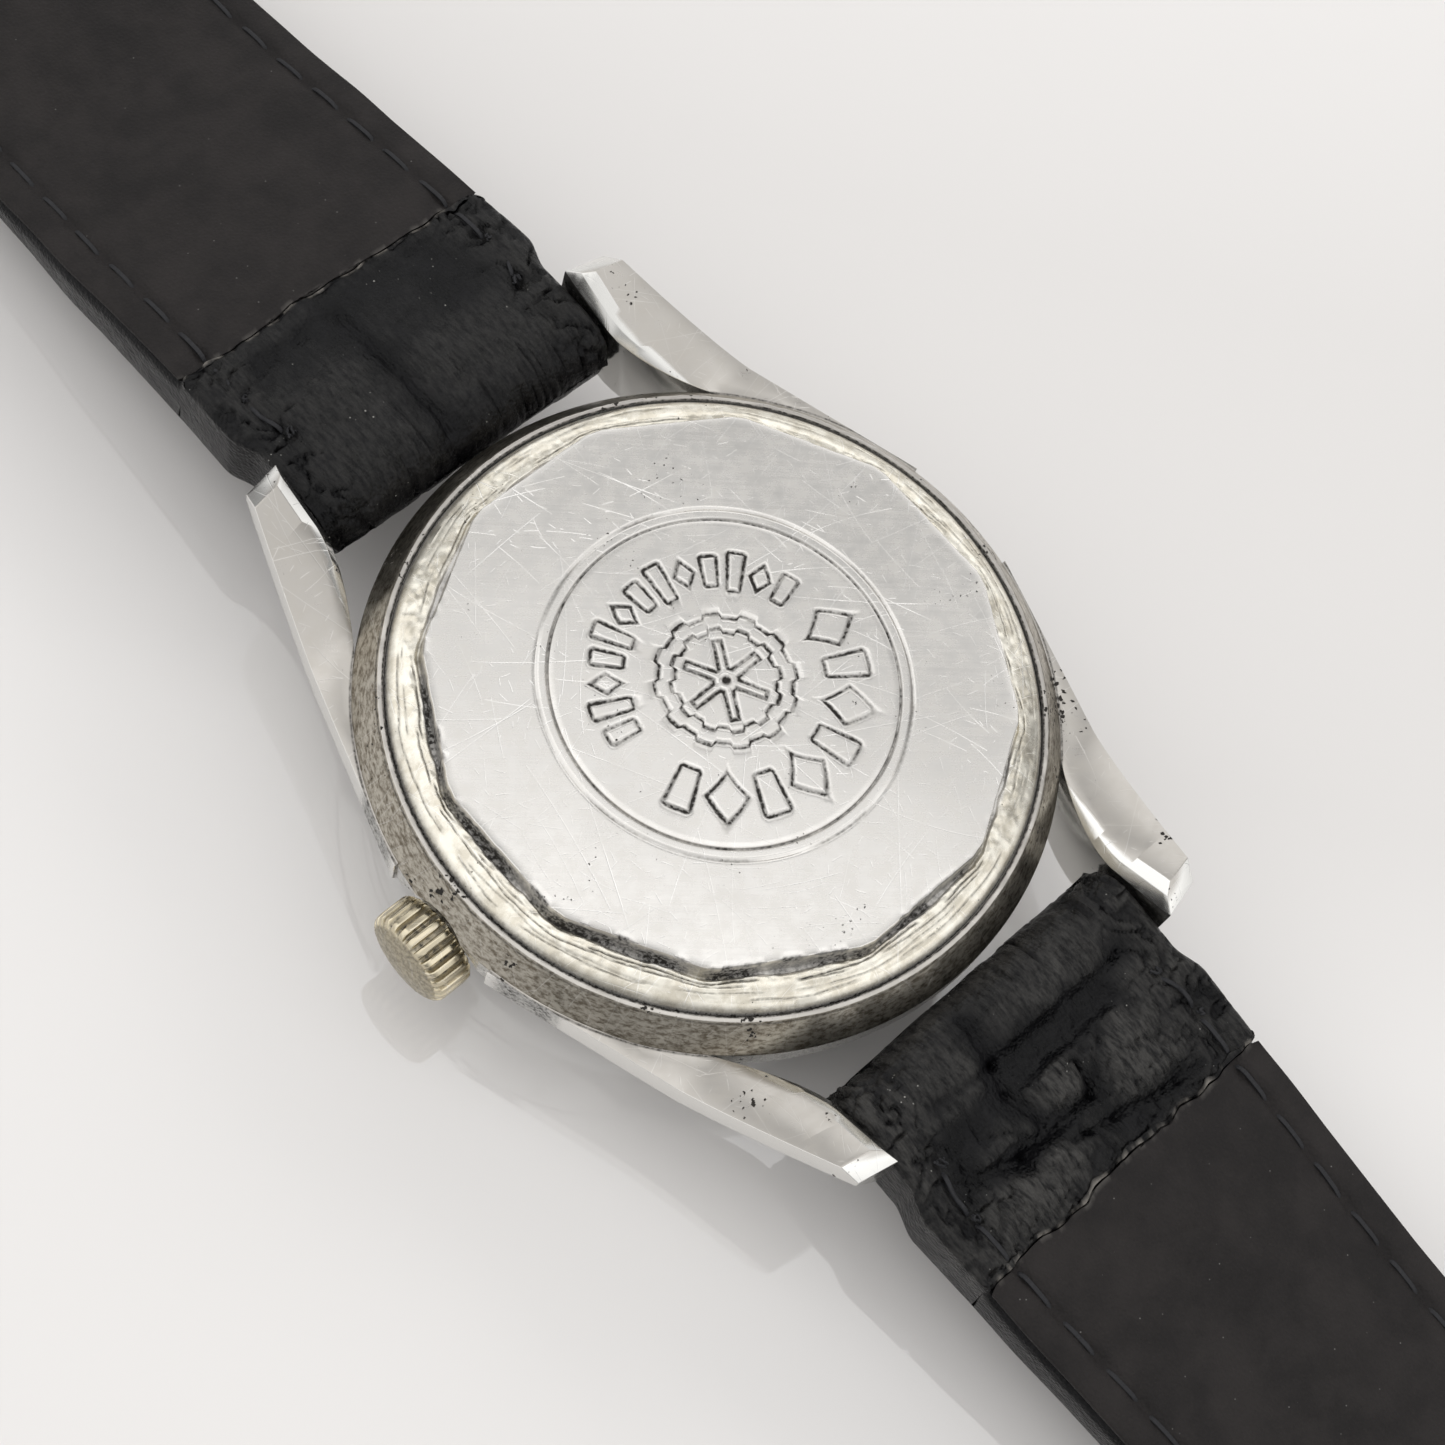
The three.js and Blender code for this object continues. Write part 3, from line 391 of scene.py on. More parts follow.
def worn_steel(name, colour, roughness, brushed=0.5, pitted=0.5, scratched=0.5, case_side=False):
    """Old satin steel: brushed grain, random scratches, pits, and dark soiling with painted shade in the
    recesses.

    case_side adds soiled rings with painted shade, a stained bevel with painted shade and a polish with
    painted highlight on the middle of the case.
    """
    s = Shader(name, metallic=1.0)
    place = s.place()
    broad = s.noise(place, 0.16, 3)
    mottle = s.noise(place, 1.1, 4, 0.6)
    grain = s.noise(s.place((0.25, 9, 9), turn=0.7), 1.0, 4, 0.65)
    fine_lines = [scratches(s, place, *kind) for kind in SCRATCH_KINDS]
    lines = fine_lines[0]
    for more in fine_lines[1:]:
        lines = s.larger(lines, more)
    patchy = s.span(s.noise(s.vector("ADD", place, (31, 7, 0)), 0.22, 2), 0.42, 0.62, 0.35, 1.0)
    lines = s.times(lines, patchy)
    pit_size = s.span(s.noise(s.vector("ADD", place, (3, 17, 5)), 0.33, 2), 0.5, 0.72, 0.0, 0.33 * pitted)
    ragged = s.node("TexNoise", {"Vector": place, "Scale": 5.0, "Detail": 2.0}, output=1)
    pit_distance = s.cells(s.vector("ADD", place, s.vector("MULTIPLY", ragged, (0.3, 0.3, 0.3))), 3.1)
    pits = s.span(s.minus(pit_distance, pit_size), -0.06, 0.03, 1.0, 0.0)
    # Dark marks kept at the points: soiling in grooves and gaps, together with painted shade there.
    grime = s.painted("grime")
    speckle = s.span(s.noise(place, 4.5, 3, 0.7), 0.35, 0.7, 0.45, 1.15)
    dirt_and_shade = s.times(grime, speckle, clamp=True)
    dirt_and_shade = s.larger(dirt_and_shade, pits)
    if case_side:
        in_plane = s.vector("MULTIPLY", place, (1, 1, 0))
        radius = s.node("VectorMath", {0: in_plane}, output="Value", operation="LENGTH")
        # Rings of painted shade and soiling at the gap to the back and along the case's edges.
        for ring_radius, width, strength in DIRT_AND_SHADE_RINGS:
            off_ring = s.math("ABSOLUTE", s.minus(radius, ring_radius))
            ring_dirt_and_shade = s.times(s.span(off_ring, 0.0, width, strength, 0.0), speckle, clamp=True)
            dirt_and_shade = s.larger(dirt_and_shade, ring_dirt_and_shade)
        upward = s.node("SeparateXYZ", {"Vector": s.node("NewGeometry", output="Normal")}, output="Z")
        # Faces picked by their tilt get a real polish, and a brighter base colour that is a painted
        # highlight.
        outer_facets = s.times(s.span(upward, 0.84, 0.88, 1.0, 0.0), s.span(radius, 16.98, 17.06))
        sides = s.times(s.span(upward, 0.2, 0.35, 1.0, 0.0), s.span(radius, 17.2, 17.3, 1.0, 0.4))
        polish_and_highlight = s.larger(sides, outer_facets)
    base = s.mix(s.span(broad, 0.35, 0.65), [c * 0.93 for c in colour], colour)
    browner = [c * k for c, k in zip(colour, (0.82, 0.78, 0.7))]
    base = s.mix(s.span(mottle, 0.3, 0.8, 0.0, 0.18), base, browner)
    warm = s.painted("warm")
    base = s.mix(warm, base, s.mix(s.span(mottle, 0.35, 0.65), (0.62, 0.57, 0.46), (0.90, 0.86, 0.75)))
    if case_side:
        # The bevel is darkened brown: a real stain, plus painted shade for the shadowed table that it
        # reflects.
        on_bevel = s.times(s.span(upward, 0.76, 0.8, 1.0, 0.0), s.span(radius, 16.98, 17.04, 1.0, 0.0))
        on_bevel = s.times(on_bevel, s.span(upward, 0.35, 0.42))
        stain_and_shade = s.span(s.noise(s.place((2.6, 2.6, 7)), 1.0, 5, 0.7), 0.38, 0.66)
        base = s.mix(on_bevel, base, s.mix(stain_and_shade, (0.50, 0.465, 0.40), (0.17, 0.145, 0.11)))
    base = s.mix(s.times(lines, scratched), base, (0.93, 0.92, 0.9))
    base = s.mix(dirt_and_shade, base, (0.014, 0.011, 0.008))
    rough = s.span(mottle, 0.25, 0.75, roughness - 0.02, roughness + 0.05)
    rough = s.plus(rough, s.times(s.minus(grain, 0.5), 0.25 * brushed))
    if case_side:
        # Painted highlight on those faces: bright base colour and lower roughness, dark where soiled.
        base = s.mix(polish_and_highlight, base, s.mix(dirt_and_shade, (0.80, 0.79, 0.76), (0.05, 0.045, 0.04)))
        rough = s.times(rough, s.minus(1.0, s.times(polish_and_highlight, 0.45)))
    rough = s.plus(rough, s.times(dirt_and_shade, 0.4), clamp=True)
    height = s.times(grain, 0.35 * brushed)
    height = s.minus(height, s.times(lines, 0.9))
    height = s.minus(height, s.times(pits, 4.0))
    s.set(base_color=base, roughness=rough, normal=s.bump(height, 0.004))
    s.set(metallic=s.span(dirt_and_shade, 0.2, 0.9, 1.0, 0.15))
    return s.material


def plain_metal(name, colour, roughness, grain_scale=(2, 2, 2)):
    """Clean machined metal with a fine grain."""
    s = Shader(name, metallic=1.0)
    grain = s.noise(s.place(grain_scale), 1.0, 4, 0.6)
    tone = s.noise(s.place(), 0.5, 2)
    s.set(base_color=s.mix(tone, [c * 0.85 for c in colour], colour))
    s.set(roughness=s.span(grain, 0.3, 0.7, roughness - 0.05, roughness + 0.08))
    s.set(normal=s.bump(grain, 0.002))
    return s.material


def embossed_leather():
    """Glazed black leather with fine creases, pores, a little dust and painted sheen on worn raised parts.
    """
    s = Shader("embossed_leather", specular_ior_level=0.17)
    place = s.place(attribute="rest")
    pores = s.cells(place, 5.5)
    creases = s.noise(s.place((4.2, 0.9, 1.1), attribute="rest"), 1.0, 5, 0.65)
    cloudy = s.noise(place, 0.7, 4, 0.6)
    wear = s.painted("wear")
    dust_size = s.span(s.noise(place, 0.5, 2), 0.52, 0.75, 0.02, 0.13)
    dust = s.span(s.minus(s.cells(place, 2.6), dust_size), -0.03, 0.015, 1.0, 0.0)
    base = s.mix(s.span(cloudy, 0.4, 0.65), (0.0008, 0.0008, 0.0012), (0.0036, 0.0035, 0.0042))
    # Painted sheen: raised parts of the flaps are lightened in streaks, as worn dusty leather and as
    # highlight.
    rubbed = s.painted("rubbed")
    streaks = s.noise(s.place((4.5, 1.1, 1.5), attribute="rest"), 1.0, 5, 0.7)
    rubbed = s.times(rubbed, s.span(streaks, 0.3, 0.66), clamp=True)
    base = s.mix(rubbed, base, (0.050, 0.048, 0.045))
    base = s.mix(s.times(wear, 0.8), base, (0.26, 0.24, 0.215))
    base = s.mix(s.times(dust, 0.6), base, (0.42, 0.41, 0.38))
    s.set(base_color=base)
    uneven = s.plus(s.times(cloudy, 0.6), s.times(creases, 0.4))
    rough = s.span(uneven, 0.32, 0.68, 0.22, 0.4)
    s.set(roughness=s.plus(rough, s.times(dust, 0.3), clamp=True))
    height = s.plus(s.times(creases, 1.3), s.times(pores, 0.35))
    s.set(normal=s.bump(height, 0.11))
    return s.material


def lining_leather():
    """Matte charcoal lining with a fine, close grain."""
    s = Shader("lining_leather", specular_ior_level=0.2)
    place = s.place(attribute="rest")
    grain = s.cells(place, 5.0)
    fine = s.noise(place, 7.0, 4, 0.7)
    cloudy = s.noise(place, 0.35, 4, 0.6)
    wear = s.painted("wear")
    dust = s.span(s.cells(place, 1.15), 0.0, 0.055, 1.0, 0.0)
    base = s.mix(s.span(cloudy, 0.3, 0.7), (0.0115, 0.0100, 0.0098), (0.0200, 0.0172, 0.0165))
    base = s.mix(s.span(fine, 0.45, 0.75, 0.0, 0.3), base, (0.04, 0.036, 0.034))
    base = s.mix(s.times(wear, 0.8), base, (0.17, 0.16, 0.145))
    base = s.mix(s.times(dust, 0.45), base, (0.45, 0.44, 0.42))
    s.set(base_color=base, roughness=s.span(fine, 0.3, 0.7, 0.6, 0.8))
    height = s.plus(s.times(grain, 0.8), s.times(fine, 0.7))
    s.set(normal=s.bump(height, 0.05))
    return s.material


def black_thread():
    s = Shader("black_thread", roughness=0.65, specular_ior_level=0.4)
    twist = s.noise(s.place((3, 9, 3), attribute="rest"), 1.0, 3)
    s.set(base_color=s.mix(twist, (0.004, 0.004, 0.005), (0.02, 0.02, 0.023)), normal=s.bump(twist, 0.04))
    return s.material


def clear_crystal():
    s = Shader("crystal_clear", transmission_weight=1.0, ior=1.49, roughness=0.02)
    hairlines = s.noise(s.place((0.4, 6, 1), turn=0.4), 1.0, 3)
    s.set(base_color=(0.97, 0.98, 0.98), normal=s.bump(hairlines, 0.0006))
    return s.material


def rubber():
    s = Shader("gasket_rubber")
    fine = s.noise(s.place(), 5.0, 3)
    s.set(base_color=s.mix(fine, (0.008, 0.008, 0.008), (0.025, 0.024, 0.023)), normal=s.bump(fine, 0.01))
    s.set(roughness=s.span(fine, 0.3, 0.7, 0.6, 0.85))
    return s.material


def sunburst_dial():
    """Silvered dial with a fine grain running out from the middle."""
    s = Shader("dial_silver", metallic=0.7)
    split = s.node("SeparateXYZ", {"Vector": s.place()})
    x, y = split, split.node.outputs[1]
    angle = s.math("ARCTAN2", y, x)
    rays = s.node("TexNoise", {"W": angle, "Scale": 38.0, "Detail": 4.0}, noise_dimensions="1D")
    s.set(base_color=s.mix(rays, (0.55, 0.53, 0.47), (0.78, 0.76, 0.70)))
    s.set(roughness=s.span(rays, 0.3, 0.7, 0.3, 0.45))
    return s.material


STEEL = worn_steel("case_steel", (0.75, 0.73, 0.70), 0.25, scratched=0.6)
CASE_STEEL = worn_steel(
    "case_steel_side", (0.53, 0.505, 0.47), 0.3, pitted=1.3, scratched=0.25, case_side=True,
)
NICKEL = worn_steel("crown_nickel", (0.66, 0.59, 0.44), 0.2, brushed=0.2, pitted=0.2)
POLISHED = plain_metal("polished_steel", (0.74, 0.74, 0.72), 0.14)
BLUED = plain_metal("blued_steel", (0.03, 0.06, 0.20), 0.22)
GILT = plain_metal("plated_brass", (0.72, 0.62, 0.40), 0.28, grain_scale=(6, 0.5, 0.5))
BRASS = plain_metal("wheel_brass", (0.76, 0.56, 0.22), 0.25, grain_scale=(5, 5, 0.5))
LEATHER = embossed_leather()
LINING_LEATHER = lining_leather()
THREAD = black_thread()
CRYSTAL = clear_crystal()
RUBBER = rubber()
DIAL = sunburst_dial()

BY_SLOT = {
    "case_steel": STEEL, "polished_steel": POLISHED, "crown_nickel": NICKEL, "gasket_rubber": RUBBER,
    "crystal_clear": CRYSTAL, "dial_silver": DIAL, "blued_steel": BLUED, "plated_brass": GILT,
    "wheel_brass": BRASS, "embossed_leather": LEATHER, "lining_leather": LINING_LEATHER,
}
for part in frame["record"]["subparts"]:
    node = frame["nodes"][part["node"]]
    node.data.materials.clear()
    node.data.materials.append(BY_SLOT[part["material_slot"]])


def place_on_body(obj, body, slot, *nodes):
    """A finished rigid piece: its body and the CAD nodes it stands for. slot, its record material, is not
    used.
    """
    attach(obj, body)
    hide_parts(*nodes)
    return obj


def round_edges(obj, width, angle=30, segments=3):
    """Bevels the sharp edges of an object by a width in millimetres."""
    bevel = obj.modifiers.new("edges", "BEVEL")
    bevel.width = width * MM
    bevel.segments = segments
    bevel.limit_method = "ANGLE"
    bevel.angle_limit = math.radians(angle)
    bevel.harden_normals = False
    apply_modifiers(obj)


def combine(obj, others, operation):
    """Joins the others onto obj, or cuts them from it, and removes them."""
    for other in others:
        boolean = obj.modifiers.new("combine", "BOOLEAN")
        boolean.operation = operation
        boolean.solver = "MANIFOLD"
        boolean.object = other
        apply_modifiers(obj)
        bpy.data.objects.remove(other)


def apply_modifiers(obj):
    depsgraph = bpy.context.evaluated_depsgraph_get()
    made = bpy.data.meshes.new_from_object(obj.evaluated_get(depsgraph))
    obj.modifiers.clear()
    obj.data = made


def drill(radius, start, end, y=0.0, z=0.0):
    """A cylinder along X, for cutting."""
    points, faces = cylinder(radius, start, end, 48)
    return make_object("drill", along_x(points, y, z), faces, None)


# ---------- case back ----------

BOSS_SIDES = 12
BOSS_APOTHEM = 13.6
BACK_SEGMENTS = 720
MEDALLION_R = 8.3
FIELD_Z = BACK_Z - 0.07
WORN_RING_END = 15.22
RING_STEPS = 22
RELIEF_END = 9.08
BROAD_ROW_R, NARROW_ROW_R = 5.85, 5.6
# Side of the back away from the window, where the boss edge and its groove get painted shadow as well as
# soiling.
DIRT_AND_SHADOW_AZIMUTH = math.radians(205)


def box_distance(u, v, half_u, half_v, corner):
    """Signed distance to a rounded rectangle."""
    du, dv = np.abs(u) - half_u + corner, np.abs(v) - half_v + corner
    outside = np.hypot(np.maximum(du, 0), np.maximum(dv, 0))
    return outside + np.minimum(np.maximum(du, dv), 0) - corner


def lozenge_distance(u, v, half_u, half_v):
    """Signed distance to a lozenge, exact beside its straight edges."""
    return (np.abs(u) / half_u + np.abs(v) / half_v - 1) * half_u * half_v / math.hypot(half_u, half_v)


def ornament_distance(x, y):
    """Signed distance to the raised ornament: two rows of plain bars and lozenges, and a cogwheel."""
    r, angle = np.hypot(x, y), np.degrees(np.arctan2(y, x))
    nearest = np.full_like(x, 9.0)
    for k in range(8):
        azimuth = -10 - 20.3 * k
        u = np.radians((angle - azimuth + 180) % 360 - 180) * BROAD_ROW_R
        if k % 2:
            shape = box_distance(u, r - BROAD_ROW_R, 0.5, 1.0, 0.08)
        else:
            shape = lozenge_distance(u, r - BROAD_ROW_R, 0.9, 1.15)
        nearest = np.minimum(nearest, shape)
    for k in range(13):
        azimuth = 18 + 12.6 * k
        u = np.radians((angle - azimuth + 180) % 360 - 180) * NARROW_ROW_R
        if k % 3 == 1:
            shape = lozenge_distance(u, r - NARROW_ROW_R, 0.42, 0.6)
        else:
            tall = 0.95 if k % 3 else 0.72
            shape = box_distance(u, r - NARROW_ROW_R, 0.3, tall, 0.06)
        nearest = np.minimum(nearest, shape)
    teeth = smoothstep(-0.35, 0.35, np.cos(np.radians(angle) * 12))
    rim = np.abs(r - (2.78 + 0.22 * teeth)) - 0.32
    inner_teeth = np.cos(np.radians(angle) * 6)
    spoke = np.abs(np.sin(np.radians((angle + 30) % 60 - 30)) * r) - 0.15 + 0.02 * inner_teeth
    spokes = np.maximum(np.maximum(spoke, r - 1.95), 0.45 - r)
    hub = np.abs(r - 0.36) - 0.18
    return np.minimum(np.minimum(nearest, rim), np.minimum(spokes, hub))


def back_face(x, y):
    """Height of the flat back inside the boss, and how dark it is painted: soiling and painted shade in its
    grooves and lines.
    """
    r, angle = np.hypot(x, y), np.arctan2(y, x)
    distance = ornament_distance(x, y) + 0.012 * noise2(x * 4, y * 4, 5)
    depth = 0.75 + 0.35 * noise2(x * 0.9, y * 0.9, 8)
    groove = np.exp(-((distance - 0.07) / 0.085) ** 2) * depth
    raised = smoothstep(0.03, -0.05, distance)
    border_line = np.exp(-((r - MEDALLION_R) / 0.05) ** 2)
    outer_line = np.exp(-((r - MEDALLION_R - 0.58) / 0.07) ** 2) * (0.7 + 0.3 * noise2(angle * 6, r, 3))
    ridge = smoothstep(0.04, 0.14, r - MEDALLION_R) * smoothstep(0.55, 0.42, r - MEDALLION_R)
    height = FIELD_Z + 0.045 * raised - 0.09 * groove - 0.1 * border_line - 0.07 * outer_line + 0.05 * ridge
    height += 0.002 * fractal(x / 3.6, y / 3.6, 4, 3) * smoothstep(13.6, 12, r)
    # Painted shade and soiling: the ornament's grooves and the engraved border lines are darkened.
    dirt_and_shade = groove * (1.9 + 0.6 * noise2(x * 2, y * 2, 9))
    dirt_and_shade = dirt_and_shade + 1.3 * border_line * (0.8 + 0.4 * noise2(angle * 9, 0, 2))
    dirt_and_shade += 0.8 * outer_line * smoothstep(-0.5, 0.6, noise2(angle * 3, 1, 12))
    return height, dirt_and_shade


def back_rings():
    """Radii of the circles on the flat back, close together where there is relief."""
    return stations(
        (0.1, 3.45, 0.085), (3.5, 4.55, 0.25), (4.6, 7.05, 0.068), (7.2, 8.15, 0.25),
        (8.18, RELIEF_END, 0.05),
    )


def case_back():
    """The screwed back: flat boss with its ornament, a grimy groove round it with painted shadow, and the
    worn ring outside.
    """
    theta = np.arange(BACK_SEGMENTS) * TAU / BACK_SEGMENTS
    side = TAU / BOSS_SIDES
    boss = BOSS_APOTHEM / np.cos((theta + side / 2) % side - side / 2)
    boss = np.minimum(boss, 13.98) + 0.02 * noise2(theta * 30, 0, 1)
    # toward_crown is the side away from the light: painted shadow and more soiling go there.
    toward_crown = smoothstep(-0.2, 0.75, np.cos(theta - DIRT_AND_SHADOW_AZIMUTH))
    floor_z = BACK_Z - 1
    radii, heights, grime = [], [], []

    def add_ring(radius, height, dirt_and_shade):
        radii.append(np.broadcast_to(radius, theta.shape))
        heights.append(np.broadcast_to(height, theta.shape))
        grime.append(np.broadcast_to(dirt_and_shade, theta.shape))

    for r in back_rings():
        height, dirt_and_shade = back_face(r * np.cos(theta), r * np.sin(theta))
        add_ring(r, height, dirt_and_shade)
    for share in (0.02, 0.05, 0.12, 0.3, 0.5, 0.7, 0.85, 0.95, 1.0):
        r = RELIEF_END + (boss - 0.16 - RELIEF_END) * share
        height, dirt_and_shade = back_face(r * np.cos(theta), r * np.sin(theta))
        add_ring(r, height, dirt_and_shade)
    # A torn boss edge on the side toward the crown, darkened with painted shadow.
    torn_and_shaded = smoothstep(0.25, 0.7, fractal(theta * 17, 5, 23, 3)) * toward_crown
    add_ring(boss - 0.05, FIELD_Z + 0.01 - 0.04 * torn_and_shaded, 0.9 * torn_and_shaded)
    add_ring(boss - 0.01, FIELD_Z - 0.02 - 0.1 * torn_and_shaded, torn_and_shaded)
    add_ring(boss + 0.02, FIELD_Z - 0.12 - 0.1 * torn_and_shaded, np.maximum(torn_and_shaded, 0.3 * toward_crown))
    # Groove at the foot of the boss wall: soiling all round, with painted shadow added toward the crown.
    groove_dirt_and_shadow = np.clip(0.35 + 0.65 * toward_crown + 0.5 * fractal(theta * 9, 0, 6, 3), 0, 1.3)
    scars = fractal(theta * 14, 3, 21, 3)
    add_ring(boss + 0.04, floor_z + 0.5, groove_dirt_and_shadow)
    add_ring(boss + 0.06, floor_z + 0.05, groove_dirt_and_shadow)
    add_ring(boss + 0.12, floor_z - 0.06, groove_dirt_and_shadow)
    inner_edge = np.maximum(boss + 0.3, 14.0 + 0.06 * scars)
    add_ring(inner_edge - 0.1, floor_z - 0.06, groove_dirt_and_shadow)
    add_ring(inner_edge - 0.02, floor_z + 0.02, 0.35 * groove_dirt_and_shadow)
    for k in range(RING_STEPS):
        share = (k + 0.5) / RING_STEPS
        r = inner_edge + (WORN_RING_END - inner_edge) * share
        height = floor_z + 0.03 - 0.3 * smoothstep(0.2, 1.0, share) * share
        dirt_and_shade = 0.0
        for line, (at, strength) in enumerate(((0.16, 1.0), (0.34, 0.85), (0.62, 0.6), (0.86, 0.7))):
            line_at = at + 0.09 * fractal(theta * 4, line, 41, 3)
            # Soiled tool lines in the worn ring, with more of them toward the crown as painted shadow.
            broken = smoothstep(-0.1, 0.35, fractal(theta * 7, line, 43, 3) + 0.35 * toward_crown)
            dirt_and_shade = np.maximum(dirt_and_shade, strength * broken * np.exp(-(((share - line_at) / 0.035) ** 2)))
        height = height - 0.05 * dirt_and_shade + 0.014 * fractal(theta * 60, share * 5, 31, 3)
        add_ring(r, height, dirt_and_shade)
    # Gap down to the middle of the case, darkened as painted shade and soiling.
    for r, z, dirt_and_shade in ((15.36, 9.6, 0.1), (15.48, 9.48, 0.5), (15.56, 9.3, 1.0), (15.6, 9.15, 1.0)):
        add_ring(r, z, dirt_and_shade)
    for r, z in ((14.4, 9.15), (14.35, 8.4), (13.5, 8.4), (13.3, 10), (6, 10), (0.2, 10)):
        add_ring(r, z, 0.0)
    radius, height = np.array(radii), np.array(heights)
    points, faces = ringed(radius, height, theta)
    warm = smoothstep(13.9, 14.1, radius.reshape(-1)) * smoothstep(9.3, 9.5, height.reshape(-1))
    marks = {"grime": np.array(grime).reshape(-1), "warm": 0.8 * warm}
    obj = make_object("screw_case_back", points, outward(points, faces), STEEL, 35, marks)
    return place_on_body(obj, "case", "case_steel", "case_back")


case_back()

# ---------- middle of the case ----------

LUG_INNER_X = 9.0
LUG_ROOT_X, LUG_ROOT_Y, LUG_OUTER_SLOPE = 16.7, 3.7, 0.323
LUG_BEND_Y, LUG_TIP_Y, LUG_TIP_Z = 12.5, 21.5, 11.2
LUG_END_SLANT = math.radians(-12)
LUG_STATIONS = (3.2, 5, 7, 9, 10.5, 11.7, 12.5, *np.arange(13, 22.1, 0.5))
LUG_CUT_RADIUS = 14.2
CASE_SEGMENTS = 360


def lug_section(y):
    """Outline across the lug at +X +Y, at a distance y from the middle of the case."""
    rise = max(0.0, (y - LUG_BEND_Y) / (LUG_TIP_Y - LUG_BEND_Y))
    back, front = 7.9 + (LUG_TIP_Z - 7.9) * rise**1.3, 3.4 + 3.4 * rise**2
    outer = LUG_ROOT_X - LUG_OUTER_SLOPE * (y - LUG_ROOT_Y)
    inner = min(LUG_INNER_X + 2.2 * max(0.0, (18 - y) / 5) ** 1.5, 13)
    flank_end = back - 1.6
    front_x = max(outer - 0.577 * (flank_end - front), inner + 0.3)
    eased = 1.3 * rise
    corners = [
        (inner, front), (front_x, front), (outer, flank_end), (outer, back), (inner + 0.9, back - 0.1),
        (inner + 0.35, back - 0.1 - 0.35 * eased), (inner, back - 0.1 - eased),
    ]
    return [(x, y, z) for x, z in corners]


def trim(obj, tilt, y, z):
    """Cuts the lug off beyond a plane across its end that leans back by tilt."""
    normal = Matrix.Rotation(LUG_END_SLANT, 3, "Z") @ Matrix.Rotation(tilt, 3, "X") @ Vector((0, -1, 0))
    mesh = bmesh.new()
    mesh.from_mesh(obj.data)
    everything = mesh.verts[:] + mesh.edges[:] + mesh.faces[:]
    at = Vector((LUG_INNER_X, y, z)) * MM
    cut = bmesh.ops.bisect_plane(mesh, geom=everything, plane_co=at, plane_no=-normal, clear_outer=True)
    bmesh.ops.holes_fill(mesh, edges=[e for e in cut["geom_cut"] if isinstance(e, bmesh.types.BMEdge)])
    mesh.to_mesh(obj.data)
    mesh.free()


def lug(sign_x, sign_y):
    points, faces = loft([lug_section(y) for y in LUG_STATIONS])
    obj = make_object("lug", points, faces, None)
    trim(obj, 0.0, LUG_TIP_Y, 9.0)
    trim(obj, math.radians(55), LUG_TIP_Y - 1.2, LUG_TIP_Z - 0.5)
    round_edges(obj, 0.2, 24)
    obj.data.transform(Matrix.Diagonal((sign_x, sign_y, 1, 1)))
    if sign_x * sign_y < 0:
        obj.data.flip_normals()
    combine(obj, [make_object("inside", *cylinder(LUG_CUT_RADIUS, 1, 13, 96), None)], "DIFFERENCE")
    return obj


def worn_edge(radius, height, angle):
    """Dents and wear along the upper edge of the case."""
    near = np.exp(-(((radius - 15.85) / 0.12) ** 2 + ((height - 9.38) / 0.12) ** 2))
    dents = np.minimum(fractal(angle * 20, 0, 51, 4), 0.3) * 0.05
    return radius + 0.4 * near * dents, height + near * dents


def mid_case():
    profile = [
        (13.35, 3), (15.2, 3), (16.85, 6.2), (17, 6.6), (17, 7.8), (16.9, 7.95), (15.9, 9.4),
        (15.65, 9.4), (15.65, 9.05), (14.5, 9.05), (14.5, 7.9), (13.35, 7.9),
    ]
    radius = [0.05, 0.15, 0.6, 0.3, 0.12, 0.2, 0.07, 0.05, 0.03, 0.03, 0.03, 0.05]
    points, faces = turned(rounded(profile, radius, 4), CASE_SEGMENTS, worn_edge)
    body = make_object("mid_case_body", points, outward(points, faces), STEEL, 35)
    combine(body, [lug(sx, sy) for sx in (1, -1) for sy in (1, -1)], "UNION")
    combine(body, [drill(3.0, -20, -16.3, z=STEM_Z), drill(0.95, -18, -12, z=STEM_Z)], "DIFFERENCE")
    combine(body, [drill(0.55, -10, 10, y * BAR_Y, BAR_Z) for y in (1, -1)], "DIFFERENCE")
    body.data.materials.clear()
    body.data.materials.append(CASE_STEEL)
    for polygon in body.data.polygons:
        polygon.material_index = 0
    smooth(body, 28)
    return place_on_body(body, "case", "case_steel", "mid_case")


mid_case()

# ---------- crown, bezel, crystal, spring bars ----------

CROWN_R = 2.4
CROWN_FLUTES = 24
CROWN_INNER = 16.6


def to_crown(points):
    """Turns a solid made about Z so that it points along -X on the stem line."""
    p = np.asarray(points, float)
    return np.stack([-p[:, 2], p[:, 1], p[:, 0] + STEM_Z], axis=1)


